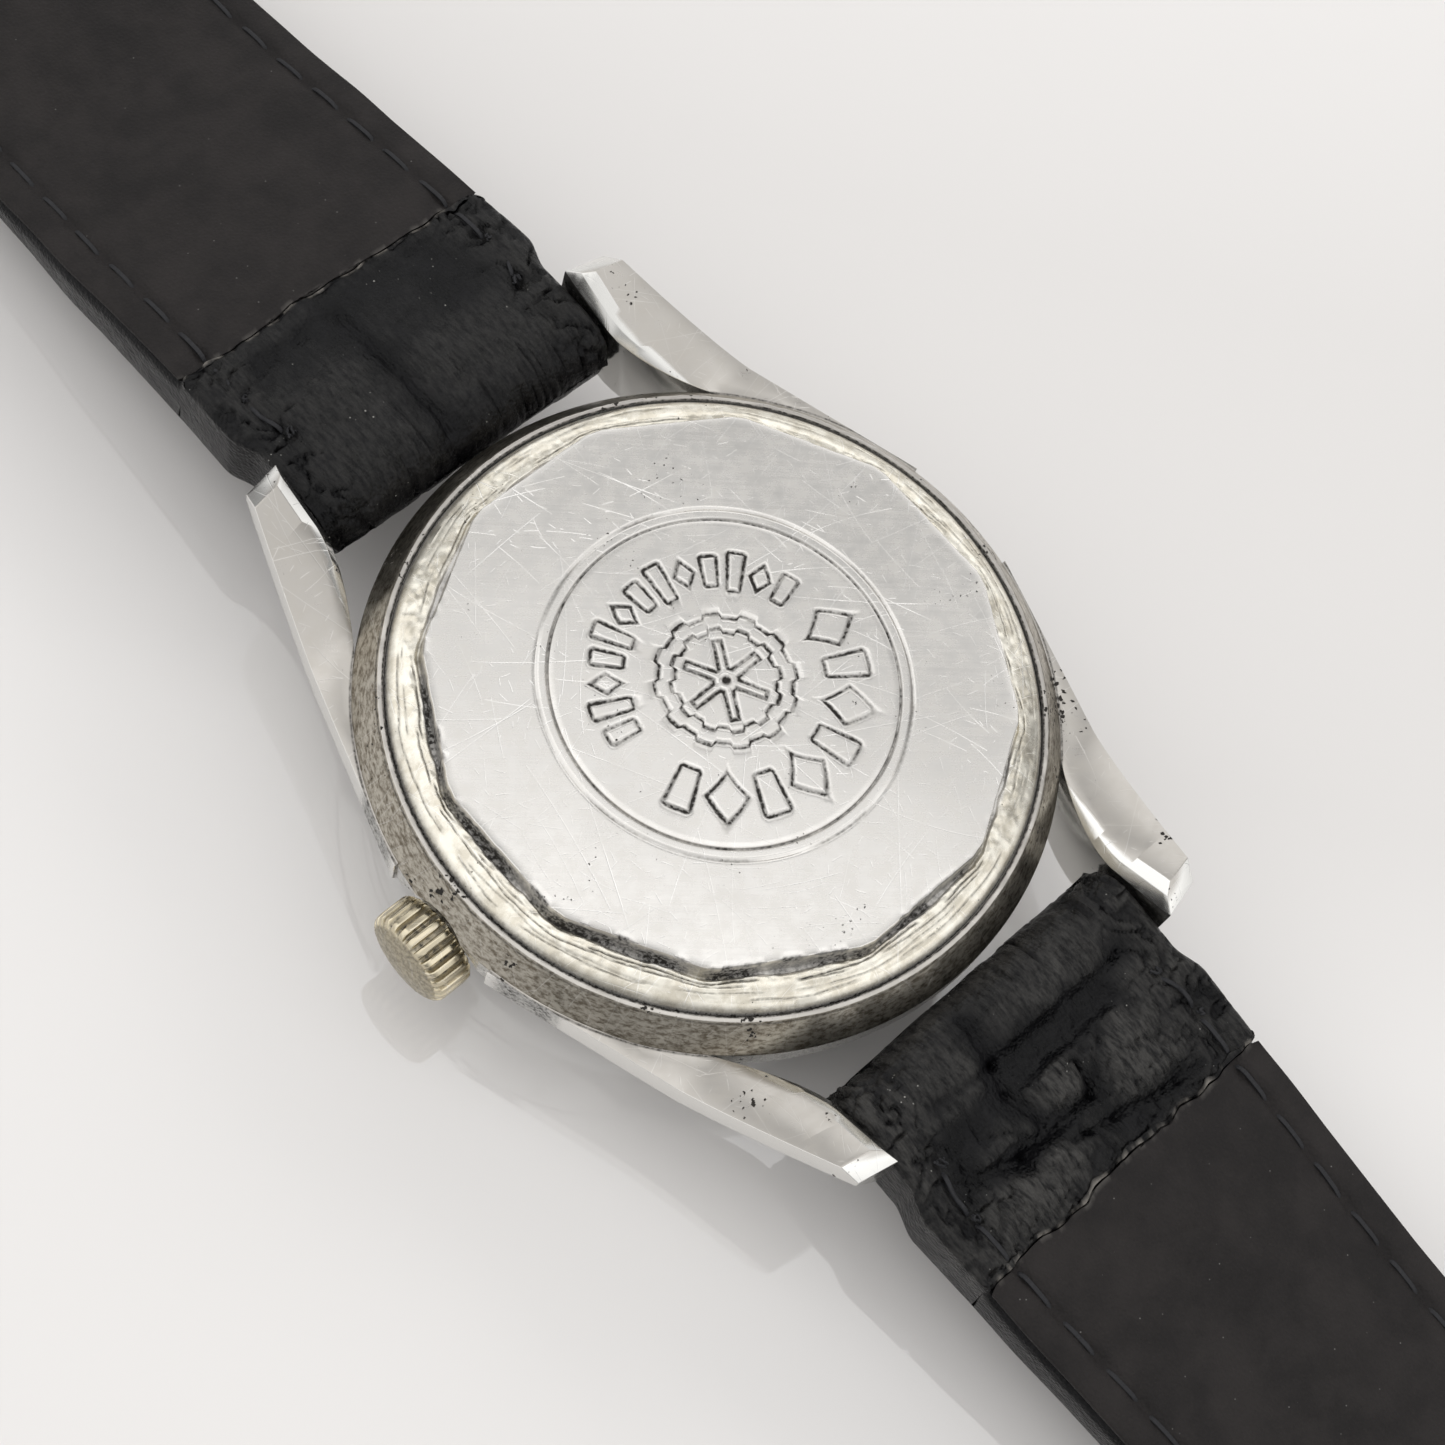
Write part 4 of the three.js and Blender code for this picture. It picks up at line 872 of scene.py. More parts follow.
def crown():
    """The crown, with rows of radius, distance from the middle of the case and depth of fluting."""
    steps = 12
    columns = CROWN_FLUTES * steps
    phase = np.arange(columns) * TAU / steps
    angle = np.arange(columns) * TAU / columns
    flute = smoothstep(-0.25, 0.75, -np.cos(phase))
    wear = 0.8 + 0.35 * noise2(angle * 4, 0, 61)
    rows = [
        (1.0, 17.9, 0), (1.0, CROWN_INNER, 0), (1.9, CROWN_INNER, 0), (2.2, CROWN_INNER + 0.05, 0.5),
        (2.36, 16.8, 1), (CROWN_R, 17.0, 1), (CROWN_R, 17.6, 1), (CROWN_R, 18.2, 1), (2.37, 18.42, 1),
        (2.28, 18.56, 0.9), (2.15, 18.66, 0.45), (2.0, 18.73, 0.1), (1.6, 18.83, 0), (1.1, 18.92, 0),
        (0.6, 18.98, 0), (0.15, 19.0, 0),
    ]
    radii, heights, grime = [], [], []
    for radius, height, fluted in rows:
        radii.append(radius - fluted * 0.29 * flute * wear)
        heights.append(height + 0.012 * noise2(angle * 3, radius * 2, 62))
        # Painted shade: the end face and inner rows are darkened evenly, and the flute bottoms get soiling
        # and painted shade.
        grime.append(np.where(fluted < 0.2, 0.6, fluted * np.clip(flute * 2.2 - 1.3, 0, 1)))
    points, faces = ringed(np.array(radii), np.array(heights), angle)
    points = to_crown(points)
    dirt_and_shade = {"grime": np.array(grime).reshape(-1)}
    obj = make_object("fluted_crown", points, outward(points, faces), NICKEL, 35, dirt_and_shade)
    return place_on_body(obj, "stem", "crown_nickel", "crown")


def turned_piece(name, profile, radius, segments, material, body, slot, node, turn=None):
    """A lathe-turned piece with rounded profile corners."""
    axis = profile[0][0] < 1e-6 and profile[-1][0] < 1e-6
    points, faces = turned(rounded(profile, radius, 3, closed=not axis), segments)
    points = turn(points) if turn else points
    obj = make_object(name, points, outward(points, faces), material, 30)
    return place_on_body(obj, body, slot, node)


crown()
turned_piece(
    "polished_bezel", [(14, 1.2), (14.5, 1), (15.2, 1.6), (15.5, 2.5), (15.5, 2.95), (14, 2.95)],
    0.12, 240, POLISHED, "case", "polished_steel", "bezel",
)
turned_piece(
    "domed_crystal",
    [(0, 0), (10.6, 0), (12.9, 0.7), (13.6, 1.5), (13.6, 2.8), (13, 2.8), (13, 1.9), (12, 1.5), (0, 1.4)],
    [0, 1.2, 0.9, 0.4, 0.08, 0.05, 0.2, 0.5, 0], 240, CRYSTAL, "case", "crystal_clear", "crystal",
)
turned_piece(
    "crown_tube_sleeve", [(0.55, 13.4), (0.9, 13.4), (0.9, 17.4), (0.55, 17.4)],
    0.06, 48, STEEL, "case", "case_steel", "crown_tube", to_crown,
)
bar_end = [
    (0.85, 8.85), (0.5, 8.85), (0.5, 8.95), (0.8, 8.95), (0.8, 9.1), (0.5, 9.1), (0.5, 9.6), (0.4, 9.7),
    (0, 9.7),
]
bar_profile = [(radius, -x) for radius, x in bar_end[::-1]] + bar_end
for bar_name, bar_y in (("12", BAR_Y), ("6", -BAR_Y)):
    turned_piece(
        "sprung_bar_" + bar_name, bar_profile, 0.03, 40, STEEL, "case", "case_steel",
        "spring_bar_" + bar_name, lambda points, y=bar_y: along_x(points, y, BAR_Z),
    )

# ---------- strap ----------

ROLL_RADIUS = 2.15
FLAP_END = 28.3
LINING = 0.8
STRAP_END_HALF, STRAP_HALF, STRAP_TAPERED_HALF = 8.86, 9.4, 8.0
STITCH_INSET = 1.75
STITCH_PITCH = 2.75
STITCH_START = 22.8
SPLIT_6 = 68.0
BUCKLE_Y, BUCKLE_Z = 92.0, 4.4
BUCKLE_FOLD = 80.0
FOLD_MIDDLE = (91.9, 4.5)
FOLD_RADIUS = 1.2
TIP_Y = 134.0
TIP_LENGTH = 8
BAR_HOLE, BUCKLE_BAR_HOLE = 0.93, 0.7
HOLE_RADIUS = 0.9
HOLE_PLACES = np.arange(90, 125, 6.5)
SCALE_ROW = 4.3
LOZENGE_PITCH = 2.9
# How strongly the raised parts of each half's flap are lightened, as wear and as painted sheen.
SHEEN_AND_RUBBING = {1: 0.4, -1: 1.0}

# Each half of the strap, +1 toward 12 and -1 toward 6. Its lines are (distance, height), creases are
# (u0, v0, u1, v1, depth, width), valleys and pads are (u, v, reach across, reach along, depth).
HALVES = {
    1: {
        "top": [(19.3, 9.25), (24, 9.15), (30, 8.35), (37, 7), (43, 5.95), (46, 5.7), (95, 5.7)],
        "bottom": [(19.3, 4.95), (26, 4.6), (37, 3.6), (46, 3.3), (95, 3.3)],
        "middle_half": 9.15,
        "creases": [
            (-0.9, 26.8, -0.85, 18.2, 0.24, 0.24), (-6.2, 26.4, -1.2, 27.2, 0.1, 0.35),
            (-6.6, 22.3, -3.6, 20.8, 0.1, 0.4), (1.8, 27.6, 6.5, 27.4, 0.06, 0.3),
        ],
        "valleys": [(-3.8, 25.6, 2.6, 1.6, 0.2), (3.2, 25.5, 3.0, 2.2, 0.2)],
        "pads": [
            (-4.6, 22.0, 2.6, 3.2, 0.42), (3.6, 20.6, 4.4, 2.0, 0.32), (-7.6, 26.4, 1.0, 1.6, 0.25),
            (7.9, 24.0, 0.7, 2.4, 0.25),
        ],
    },
    -1: {
        "top": [(19.3, 9.25), (23, 8.6), (30, 7.7), (39, 6.7), (48, 5.8), (88, 2.4), (140, 2.4)],
        "bottom": [(19.3, 4.95), (26, 4.5), (37, 3.7), (48, 3.2), (88, 0), (140, 0)],
        "middle_half": 8.7,
        "creases": [
            (-5.4, 20.7, -1.9, 21.15, 0.16, 0.2), (-1.7, 21.17, 6.6, 21.2, 0.2, 0.2),
            (-1.9, 18.6, -1.95, 21.1, 0.24, 0.22), (-1.95, 21.1, -2.5, 22.5, 0.26, 0.2),
            (-2.5, 22.5, -2.1, 24.5, 0.22, 0.18), (-6.6, 24.4, -3.8, 25.1, 0.24, 0.24),
            (-3.8, 25.1, 0.8, 25.2, 0.28, 0.2), (-1.4, 26.0, 1.1, 26.7, 0.2, 0.16),
            (1.1, 26.7, 6.2, 27.5, 0.2, 0.17), (1.08, 23.1, 1.05, 24.9, 0.14, 0.14),
            (0.8, 25.2, 2.6, 23.6, 0.14, 0.2), (1.9, 28.0, 0.4, 28.3, 0.12, 0.18),
        ],
        "valleys": [(1.6, 22.05, 3.4, 0.75, 0.55), (-4.6, 22.9, 2.2, 1.2, 0.25)],
        "pads": [
            (-5.0, 19.9, 2.6, 1.4, 0.08), (2.4, 19.8, 3.8, 1.2, 0.08), (-0.2, 23.9, 1.1, 0.9, 0.3),
            (3.3, 24.6, 1.5, 1.0, 0.35), (-3.6, 26.4, 2.8, 1.0, 0.35), (3.6, 26.1, 2.4, 0.6, 0.3),
            (-4.6, 24.0, 1.8, 0.7, 0.2),
        ],
    },
}


def line_height(line, distance):
    """Height of a side line at a distance from the middle of the case, with its corners eased."""
    ys, zs = np.array(line).T
    near = [np.interp(np.asarray(distance) + step, ys, zs) for step in np.linspace(-1.5, 1.5, 7)]
    return np.mean(near, axis=0)


def side_line(half, side, ys):
    """The top or bottom line of a half as points of (distance, height)."""
    return np.stack([ys, line_height(HALVES[half][side], ys)], axis=1)


def half_width(distance, half):
    """Half of the strap's width at a distance from the middle of the case."""
    start = BAR_Y - ROLL_RADIUS
    widths = [STRAP_HALF, HALVES[half]["middle_half"], STRAP_TAPERED_HALF]
    beside_case = np.interp(distance, [24, 40, 70], widths)
    width = STRAP_END_HALF + (beside_case - STRAP_END_HALF) * smoothstep(22.6, 24.6, distance)
    rounding = np.clip((start + 0.3 - distance) / 0.3, 0, 1)
    width = width - 0.3 * (1 - np.sqrt(1 - rounding**2))
    if half < 0:
        tip_start = TIP_Y - TIP_LENGTH
        beyond = np.clip((distance - tip_start) / (TIP_Y - tip_start), 0, 0.9995)
        width = width * (1 - beyond**2) ** 0.62
    return width + 0.05 * noise2(distance / 3.1, half, 71) * smoothstep(22.6, 24.6, distance)


def segment_distance(u, v, u0, v0, u1, v1):
    du, dv = u1 - u0, v1 - v0
    t = np.clip(((u - u0) * du + (v - v0) * dv) / (du * du + dv * dv), 0, 1)
    return np.hypot(u - u0 - t * du, v - v0 - t * dv)


def comb_wrinkles(u, v, seed):
    """Fine short wrinkles along the strap, in patches."""
    lines = noise2(u / 0.17, v / 1.7, seed) * 0.7 + noise2(u / 0.36, v / 2.6, seed + 1) * 0.5
    patches = smoothstep(-0.1, 0.5, noise2(u / 2.3, v / 2.6, seed + 2))
    return -np.maximum(lines, 0) * patches


def crinkles(u, v, seed):
    """Irregular creases with no direction."""
    bent_u, bent_v = u + 0.5 * noise2(u / 1.3, v / 1.3, seed), v + 0.5 * noise2(u / 1.3, v / 1.3, seed + 5)
    ridged = 1 - np.abs(fractal(bent_u / 1.1, bent_v / 1.1, seed + 9, 3))
    return -np.clip(ridged - 0.72, 0, 1) / 0.28


def flap_relief(u, v, half):
    """The folded flap and roll beside the case: long creases, pads and wrinkles."""
    shape = HALVES[half]
    wandering_u = u + 0.14 * noise2(u / 1.5, v / 1.2, 81) + 0.05 * noise2(u / 0.4, v / 0.4, 82)
    wandering_v = v + 0.14 * noise2(u / 1.3, v / 1.5, 83) + 0.05 * noise2(u / 0.4, v / 0.4, 84)
    relief = np.zeros_like(u)
    for u0, v0, u1, v1, depth, width in shape["creases"]:
        distance = segment_distance(wandering_u, wandering_v, u0, v0, u1, v1)
        narrow, wide = np.exp(-((distance / width) ** 2)), np.exp(-((distance / (4 * width)) ** 2))
        relief = relief - depth * (0.9 * narrow + 0.9 * wide)
    for u0, v0, reach_u, reach_v, depth in shape["valleys"]:
        inside = ((wandering_u - u0) / reach_u) ** 6 + ((wandering_v - v0) / reach_v) ** 6
        relief = relief - depth * np.exp(-inside)
    for u0, v0, reach_u, reach_v, height in shape["pads"]:
        inside = np.abs((wandering_u - u0) / reach_u) ** 2.6 + np.abs((wandering_v - v0) / reach_v) ** 2.6
        relief = relief + height * np.exp(-inside)
    roll = smoothstep(22.5, 19.5, v)
    relief = relief + 0.2 * comb_wrinkles(u, v, 90 + half) * (0.35 + 0.65 * roll)
    edges = smoothstep(5.2, 7.6, np.abs(u))
    rough = 0.3 + 0.9 * np.maximum(edges, 0.6 * smoothstep(21, 24, v) if half < 0 else 0)
    relief = relief + 0.2 * crinkles(u, v, 100 + half) * rough
    return relief - 0.12 + 0.11 * fractal(u / 2.1, v / 2.1, 110 + half, 3)


def scale_relief(u, v, seed):
    """Embossed crocodile scales: rows across the strap of pads with sunken edges."""
    v = v + 0.35 * noise2(u / 2.2, v / 3.0, seed)
    row = np.floor(v / SCALE_ROW)
    shift = lattice(row.astype(np.int64), 0, seed) * 4
    across = (u + 0.3 * noise2(u / 2, v / 2, seed + 1) + shift) / np.where(np.abs(u) < 4.2, 4.4, 2.9)
    cell = across - np.floor(across)
    in_row = v / SCALE_ROW - row
    from_edge = np.minimum(np.minimum(cell, 1 - cell) * 3.6, np.minimum(in_row, 1 - in_row) * SCALE_ROW)
    pad = 1 - np.exp(-from_edge / 0.42)
    return -0.2 * (1 - pad) + 0.03 * crinkles(u, v, seed + 2) + 0.02 * fractal(u, v, seed + 4, 3)


def stitch_groove(u, v, half, depth):
    """The channel that a row of stitches pulls into the leather."""
    row = half_width(v, half) - STITCH_INSET
    off = np.abs(np.abs(u) - row - 0.06 * noise2(v / 1.4, np.sign(u), 120))
    pulled = 0.75 + 0.25 * np.cos(TAU * (v - STITCH_START) / STITCH_PITCH)
    begun = smoothstep(STITCH_START - 1.2, STITCH_START, v)
    return -depth * (np.exp(-((off / 0.3) ** 2)) * pulled + 0.35 * np.exp(-((off / 0.9) ** 2))) * begun


def pressed_row(u, v):
    """A plain row of pressed lozenges down the lining of the long half."""
    along = (v - 33.0) / LOZENGE_PITCH
    inside = (np.abs(along - np.round(along)) * LOZENGE_PITCH) / 0.85 + np.abs(u + 0.2) / 1.55
    in_row = (along > -0.5) & (along < 8.5)
    outline = np.exp(-(((inside - 1) / 0.16) ** 2))
    return -0.15 * outline * in_row * (0.6 + 0.4 * noise2(u, v, 130))


def side_normals(line):
    """Unit normals of a side line of (distance, height), to the left of its direction."""
    tangent = np.gradient(np.asarray(line, float), axis=0)
    tangent /= np.maximum(np.linalg.norm(tangent, axis=1, keepdims=True), 1e-9)
    return np.stack([-tangent[:, 1], tangent[:, 0]], axis=1)


def slab(top, bottom, half, steps, corner, top_relief, bottom_relief, inset=0.0):
    """Leather between two side lines of (distance, height), as a loft of round-edged sections.

    steps is the number of points across the top and across the bottom.
    """
    top, bottom = np.asarray(top, float), np.asarray(bottom, float)
    arc_angles = np.radians(np.linspace(0, 90, 6))[1:]
    columns = [(a, 0, 0, 1) for a in np.linspace(-1, 1, steps[0])]
    columns += [(1, math.sin(a), 1 - math.cos(a), 1) for a in arc_angles]
    columns += [(1, math.sin(a), 1 - math.cos(a), -1) for a in arc_angles[::-1]]
    columns += [(a, 0, 0, -1) for a in np.linspace(1, -1, steps[1])]
    columns += [(-1, -math.sin(a), 1 - math.cos(a), -1) for a in arc_angles]
    columns += [(-1, -math.sin(a), 1 - math.cos(a), 1) for a in arc_angles[::-1]]
    along, beyond, drop, face = [c[None, :] for c in np.array(columns).T]
    thickness = np.linalg.norm(top - bottom, axis=1)[:, None]
    distance = (top[:, 0] + bottom[:, 0])[:, None] / 2
    width = half_width(distance, half) - inset
    reach = np.minimum(corner, 0.8 * width)
    depth = np.minimum(corner, 0.46 * thickness)
    u = along * (width - reach) + beyond * reach
    on_top = face > 0
    base = np.where(on_top[..., None], top[:, None, :], bottom[:, None, :])
    normal = np.where(on_top[..., None], side_normals(top)[:, None, :], -side_normals(bottom)[:, None, :])
    path = np.broadcast_to(base[..., 0], u.shape)
    relief = np.where(on_top, top_relief(u, path), bottom_relief(u, path)) * (1 - drop) ** 1.5
    place = base + normal * (relief - drop * depth)[..., None]
    points = np.stack([u, half * place[..., 0], place[..., 1]], axis=-1)
    return loft(points)


def near_lines(half):
    """Top and bottom side lines of the cover, from the roll to just past the end of the flap."""
    angles = np.radians(np.linspace(2, 90, 28))[:-1]
    roll_y = BAR_Y - ROLL_RADIUS * np.cos(angles)
    roll_top = np.stack([roll_y, BAR_Z + ROLL_RADIUS * np.sin(angles)], axis=1)
    roll_bottom = np.stack([roll_y, BAR_Z - ROLL_RADIUS * np.sin(angles)], axis=1)
    flap = stations((BAR_Y, FLAP_END - 0.1, 0.13))
    edge = [(-0.08, 0.0), (-0.02, -0.06), (0.03, -0.22), (0.05, -0.5), (0.12, -0.8), (0.3, -LINING - 0.06)]
    end_z = line_height(HALVES[half]["top"], FLAP_END)
    edge_line = np.array([(FLAP_END + dy, end_z + dz) for dy, dz in edge])
    top = np.vstack([roll_top, side_line(half, "top", flap), edge_line])
    bottom_y = np.concatenate([flap, edge_line[:, 0]])
    return top, np.vstack([roll_bottom, side_line(half, "bottom", bottom_y)])


def under_lining(half, ys):
    """Side lines of the cover where the lining lies on it."""
    top = side_line(half, "top", ys) - [0, LINING] - [0, 0.06]
    return top, side_line(half, "bottom", ys)


def cover_top(half):
    def relief(u, v):
        on_flap = smoothstep(FLAP_END + 0.05, FLAP_END - 0.05, v)
        flap = flap_relief(u, v, half) + stitch_groove(u, v, half, 0.2)
        folded = smoothstep(BUCKLE_FOLD, BUCKLE_FOLD + 0.3, v) if half > 0 else 0
        return on_flap * flap + folded * 0.5 * scale_relief(u, v, 140)
    return relief


def cover_bottom(half):
    return lambda u, v: scale_relief(u, v, 150 + half) + stitch_groove(u, v, half, 0.16)


def lining_top(half):
    def relief(u, v):
        beyond_row = np.clip(np.abs(u) - half_width(v, half) + STITCH_INSET, 0, 2) / STITCH_INSET
        pressed = pressed_row(u, v) if half < 0 else 0
        wave = 0.03 * fractal(u / 3, v / 5, 160 + half, 3)
        tucked = -0.22 * smoothstep(FLAP_END + 2.2, FLAP_END, v)
        return stitch_groove(u, v, half, 0.26) - 0.3 * beyond_row**2 + wave + pressed + tucked
    return relief


def flat(u, v):
    return np.zeros_like(u)


def leather(name, points, faces, material, half, cutters=()):
    """A leather object, with fraying along the flap's cut edge, and wear with painted sheen on its raised
    parts.
    """
    points = np.array(points)
    near_flap = np.exp(-(((np.abs(points[:, 1]) - FLAP_END) / 1.3) ** 2))
    points[:, 1] += half * 0.2 * fractal(points[:, 0] / 1.9, half, 172, 3) * near_flap
    obj = make_object(name, points, faces, material, 50)
    if cutters:
        combine(obj, cutters, "DIFFERENCE")
        smooth(obj, 50)
    count = len(obj.data.vertices)
    rest = np.empty(count * 3, np.float32)
    obj.data.vertices.foreach_get("co", rest)
    x, y, z = (rest.reshape(-1, 3) / MM).T
    distance = np.abs(y)
    edge_y = FLAP_END + 0.2 * fractal(x / 1.9, half, 172, 3)
    ragged = smoothstep(-0.5, 0.9, fractal(x / 0.35, half, 170, 3))
    frayed = np.exp(-(((distance - edge_y) / 0.1) ** 2)) * ragged
    top_z = line_height(HALVES[half]["top"], distance)
    frayed = frayed * smoothstep(0.55, 0.2, top_z - z)
    raised = smoothstep(-0.4, 0.12, flap_relief(x, distance, half))
    on_flap = smoothstep(FLAP_END, FLAP_END - 0.3, distance) * smoothstep(-3.0, -1.0, z - top_z)
    keep_rest(obj, rest)
    set_attribute(obj.data, "wear", frayed)
    set_attribute(obj.data, "rubbed", SHEEN_AND_RUBBING[half] * raised * on_flap)
    return obj


def bore(radius, x, y, z_low, z_high):
    """A cylinder along Z, for cutting."""
    points, faces = cylinder(radius, z_low, z_high, 32)
    return make_object("bore", points + np.array([x, y, 0]), faces, None)


def block(low, high):
    (x0, y0, z0), (x1, y1, z1) = low, high
    points, faces = loft([[(x0, y, z0), (x1, y, z0), (x1, y, z1), (x0, y, z1)] for y in (y0, y1)])
    return make_object("block", points, faces, None)


def finish_leather(obj, bodies, layer=None):
    """Bakes a strap piece's place into its mesh and hides the CAD nodes of the two lengths of the strap that
    it stands for.

    layer is cover or lining, the CAD nodes that it stands for. Thread stands for none.
    """
    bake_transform(obj)
    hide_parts(*([f"{body}_{layer}" for body in bodies] if layer else []))


def short_half():
    """The buckle half: cover from the roll to the fold round the buckle bar, and its lining."""
    half = 1
    top, bottom = near_lines(half)
    ys = stations((FLAP_END + 0.5, 60, 0.3), (60, BUCKLE_FOLD - 0.15, 0.35))
    under_top, under_bottom = under_lining(half, ys)
    fold_y = stations((BUCKLE_FOLD + 0.15, FOLD_MIDDLE[0], 0.3))
    angles = np.radians(np.linspace(90, 3, 12))
    end_y = FOLD_MIDDLE[0] + FOLD_RADIUS * np.cos(angles)
    end_top = np.stack([end_y, FOLD_MIDDLE[1] + FOLD_RADIUS * np.sin(angles)], axis=1)
    end_bottom = np.stack([end_y, FOLD_MIDDLE[1] - FOLD_RADIUS * np.sin(angles)], axis=1)
    top = np.vstack([top, under_top, side_line(half, "top", fold_y), end_top])
    bottom = np.vstack([bottom, under_bottom, side_line(half, "bottom", fold_y), end_bottom])
    points, faces = slab(top, bottom, half, (130, 84), 0.55, cover_top(half), cover_bottom(half))
    cutters = [
        drill(BAR_HOLE, -12, 12, BAR_Y, BAR_Z), drill(BUCKLE_BAR_HOLE, -12, 12, BUCKLE_Y, BUCKLE_Z),
        block((-1.4, BUCKLE_Y - 3, 0), (1.4, BUCKLE_Y + 2, 8)),
    ]
    cover = leather("strap_12_cover", points, faces, LEATHER, half, cutters)
    bodies = ("strap_12_near", "strap_12_end")
    finish_leather(cover, bodies, "cover")
    ys = stations((FLAP_END + 0.12, 60, 0.25), (60, BUCKLE_FOLD - 0.1, 0.3))
    lining = lining_piece("strap_12_lining", half, ys)
    finish_leather(lining, bodies, "lining")
    thread = stitches("strap_12_stitches", half, STITCH_START, 89)
    finish_leather(thread, bodies)


def lining_piece(name, half, ys, cutters=()):
    top = side_line(half, "top", ys)
    bottom = top - [0, LINING]
    points, faces = slab(top, bottom, half, (120, 12), 0.34, lining_top(half), flat, 0.1)
    return leather(name, points, faces, LINING_LEATHER, half, cutters)


def buckle_holes():
    """A new set of cutters for the holes, because each cut uses its cutters up."""
    return [bore(HOLE_RADIUS, 0, -y, -2, 6) for y in HOLE_PLACES]


def long_half():
    """The half with the buckle holes, in two lengths that meet midway between its two joints."""
    half = -1
    top, bottom = near_lines(half)
    ys = stations((FLAP_END + 0.5, SPLIT_6, 0.3))
    under_top, under_bottom = under_lining(half, np.append(ys, SPLIT_6))
    points, faces = slab(
        np.vstack([top, under_top]), np.vstack([bottom, under_bottom]), half, (130, 84), 0.55,
        cover_top(half), cover_bottom(half),
    )
    bar_hole = drill(BAR_HOLE, -12, 12, -BAR_Y, BAR_Z)
    cover = leather("strap_6_cover_upper", points, faces, LEATHER, half, [bar_hole])
    bodies = ("strap_6_near", "strap_6_middle")
    finish_leather(cover, bodies, "cover")
    ys = np.append(stations((FLAP_END + 0.12, 60, 0.25), (60, SPLIT_6, 0.3)), SPLIT_6)
    lining = lining_piece("strap_6_lining_upper", half, ys)
    finish_leather(lining, bodies, "lining")
    thread = stitches("strap_6_stitches_upper", half, STITCH_START, SPLIT_6 - 0.5)
    finish_leather(thread, bodies)

    bodies = ("strap_6_middle", "strap_6_end")
    tip = TIP_Y - TIP_LENGTH + TIP_LENGTH * np.sin(np.radians(np.linspace(0, 89, 40)))
    ys = np.concatenate([[SPLIT_6], stations((SPLIT_6 + 0.3, TIP_Y - TIP_LENGTH, 0.35)), tip])
    under_top, under_bottom = under_lining(half, ys)
    points, faces = slab(under_top, under_bottom, half, (60, 84), 0.5, flat, cover_bottom(half))
    cover = leather("strap_6_cover_lower", points, faces, LEATHER, half, buckle_holes())
    finish_leather(cover, bodies, "cover")
    lining = lining_piece("strap_6_lining_lower", half, ys, buckle_holes())
    finish_leather(lining, bodies, "lining")
    thread = stitches("strap_6_stitches_lower", half, SPLIT_6 + 1, TIP_Y - 9)
    finish_leather(thread, bodies)


def tube(path, radius):
    """Points and faces of a six-sided bar along a path of points."""
    path = np.asarray(path, float)
    tangent = np.gradient(path, axis=0)
    tangent /= np.linalg.norm(tangent, axis=1, keepdims=True)
    side = np.cross(tangent, [1.0, 0, 0])
    weak = np.linalg.norm(side, axis=1) < 0.2
    side[weak] = np.cross(tangent[weak], [0, 0, 1.0])
    side /= np.linalg.norm(side, axis=1, keepdims=True)
    other = np.cross(tangent, side)
    angles = (np.arange(6) * TAU / 6)[:, None]
    return loft(path[:, None] + radius * (side[:, None] * np.cos(angles) + other[:, None] * np.sin(angles)))


def stitches(name, half, start, end):
    """Both rows of saddle stitches, on the top and on the outer face, with knots at the row ends."""
    points, faces = [], []

    def add(path, radius):
        made, made_faces = tube(path, radius)
        offset = sum(len(p) for p in points)
        points.append(made)
        faces.extend([[i + offset for i in f] for f in made_faces])

    shape = HALVES[half]
    first = STITCH_START + STITCH_PITCH * math.ceil((start - STITCH_START) / STITCH_PITCH)
    bend = np.linspace(0, 1, 9)
    for k, y in enumerate(np.arange(first, end - STITCH_PITCH, STITCH_PITCH)):
        for side in (-1, 1):
            jitter = 0.12 * noise2(k * 1.7, side, 180)
            at = y + 0.28 + bend * (STITCH_PITCH - 0.56)
            u = side * (half_width(at, half) - STITCH_INSET) + jitter * (bend - 0.5)
            sunk = -0.42 * (np.abs(2 * bend - 1) ** 5) - 0.1
            top_z = line_height(shape["top"], at) + sunk - 0.1
            bottom_z = line_height(shape["bottom"], at) - sunk + 0.1
            add(np.stack([u, half * at, top_z], axis=1), 0.12)
            add(np.stack([u, half * at, bottom_z], axis=1), 0.12)
    if start == STITCH_START:
        turns = np.linspace(0, 2.3 * TAU, 26)
        for side in (-1, 1):
            for y in (STITCH_START, STITCH_START + STITCH_PITCH):
                row = side * (half_width(y, half) - STITCH_INSET)
                u = row + 0.3 * noise2(turns / 1.9, y, 185) + 0.01 * turns
                at = y + 0.34 * noise2(turns / 1.6, y, 186 + side)
                z = line_height(shape["top"], y) - 0.16 + 0.14 * noise2(turns / 2.2, y, 187 + side)
                add(np.stack([u, half * at, z], axis=1), 0.06)
    thread = make_object(name, np.vstack(points), faces, THREAD, 60)
    keep_rest(thread, np.vstack(points) * MM)
    return thread


short_half()
long_half()

# ---------- keepers and buckle ----------


KEEPER_THICK = 1.0


def rounded_box(low, high, radius, steps):
    """A rounded rectangle between two corners."""
    return rounded([low, (high[0], low[1]), high, (low[0], high[1])], radius, steps)


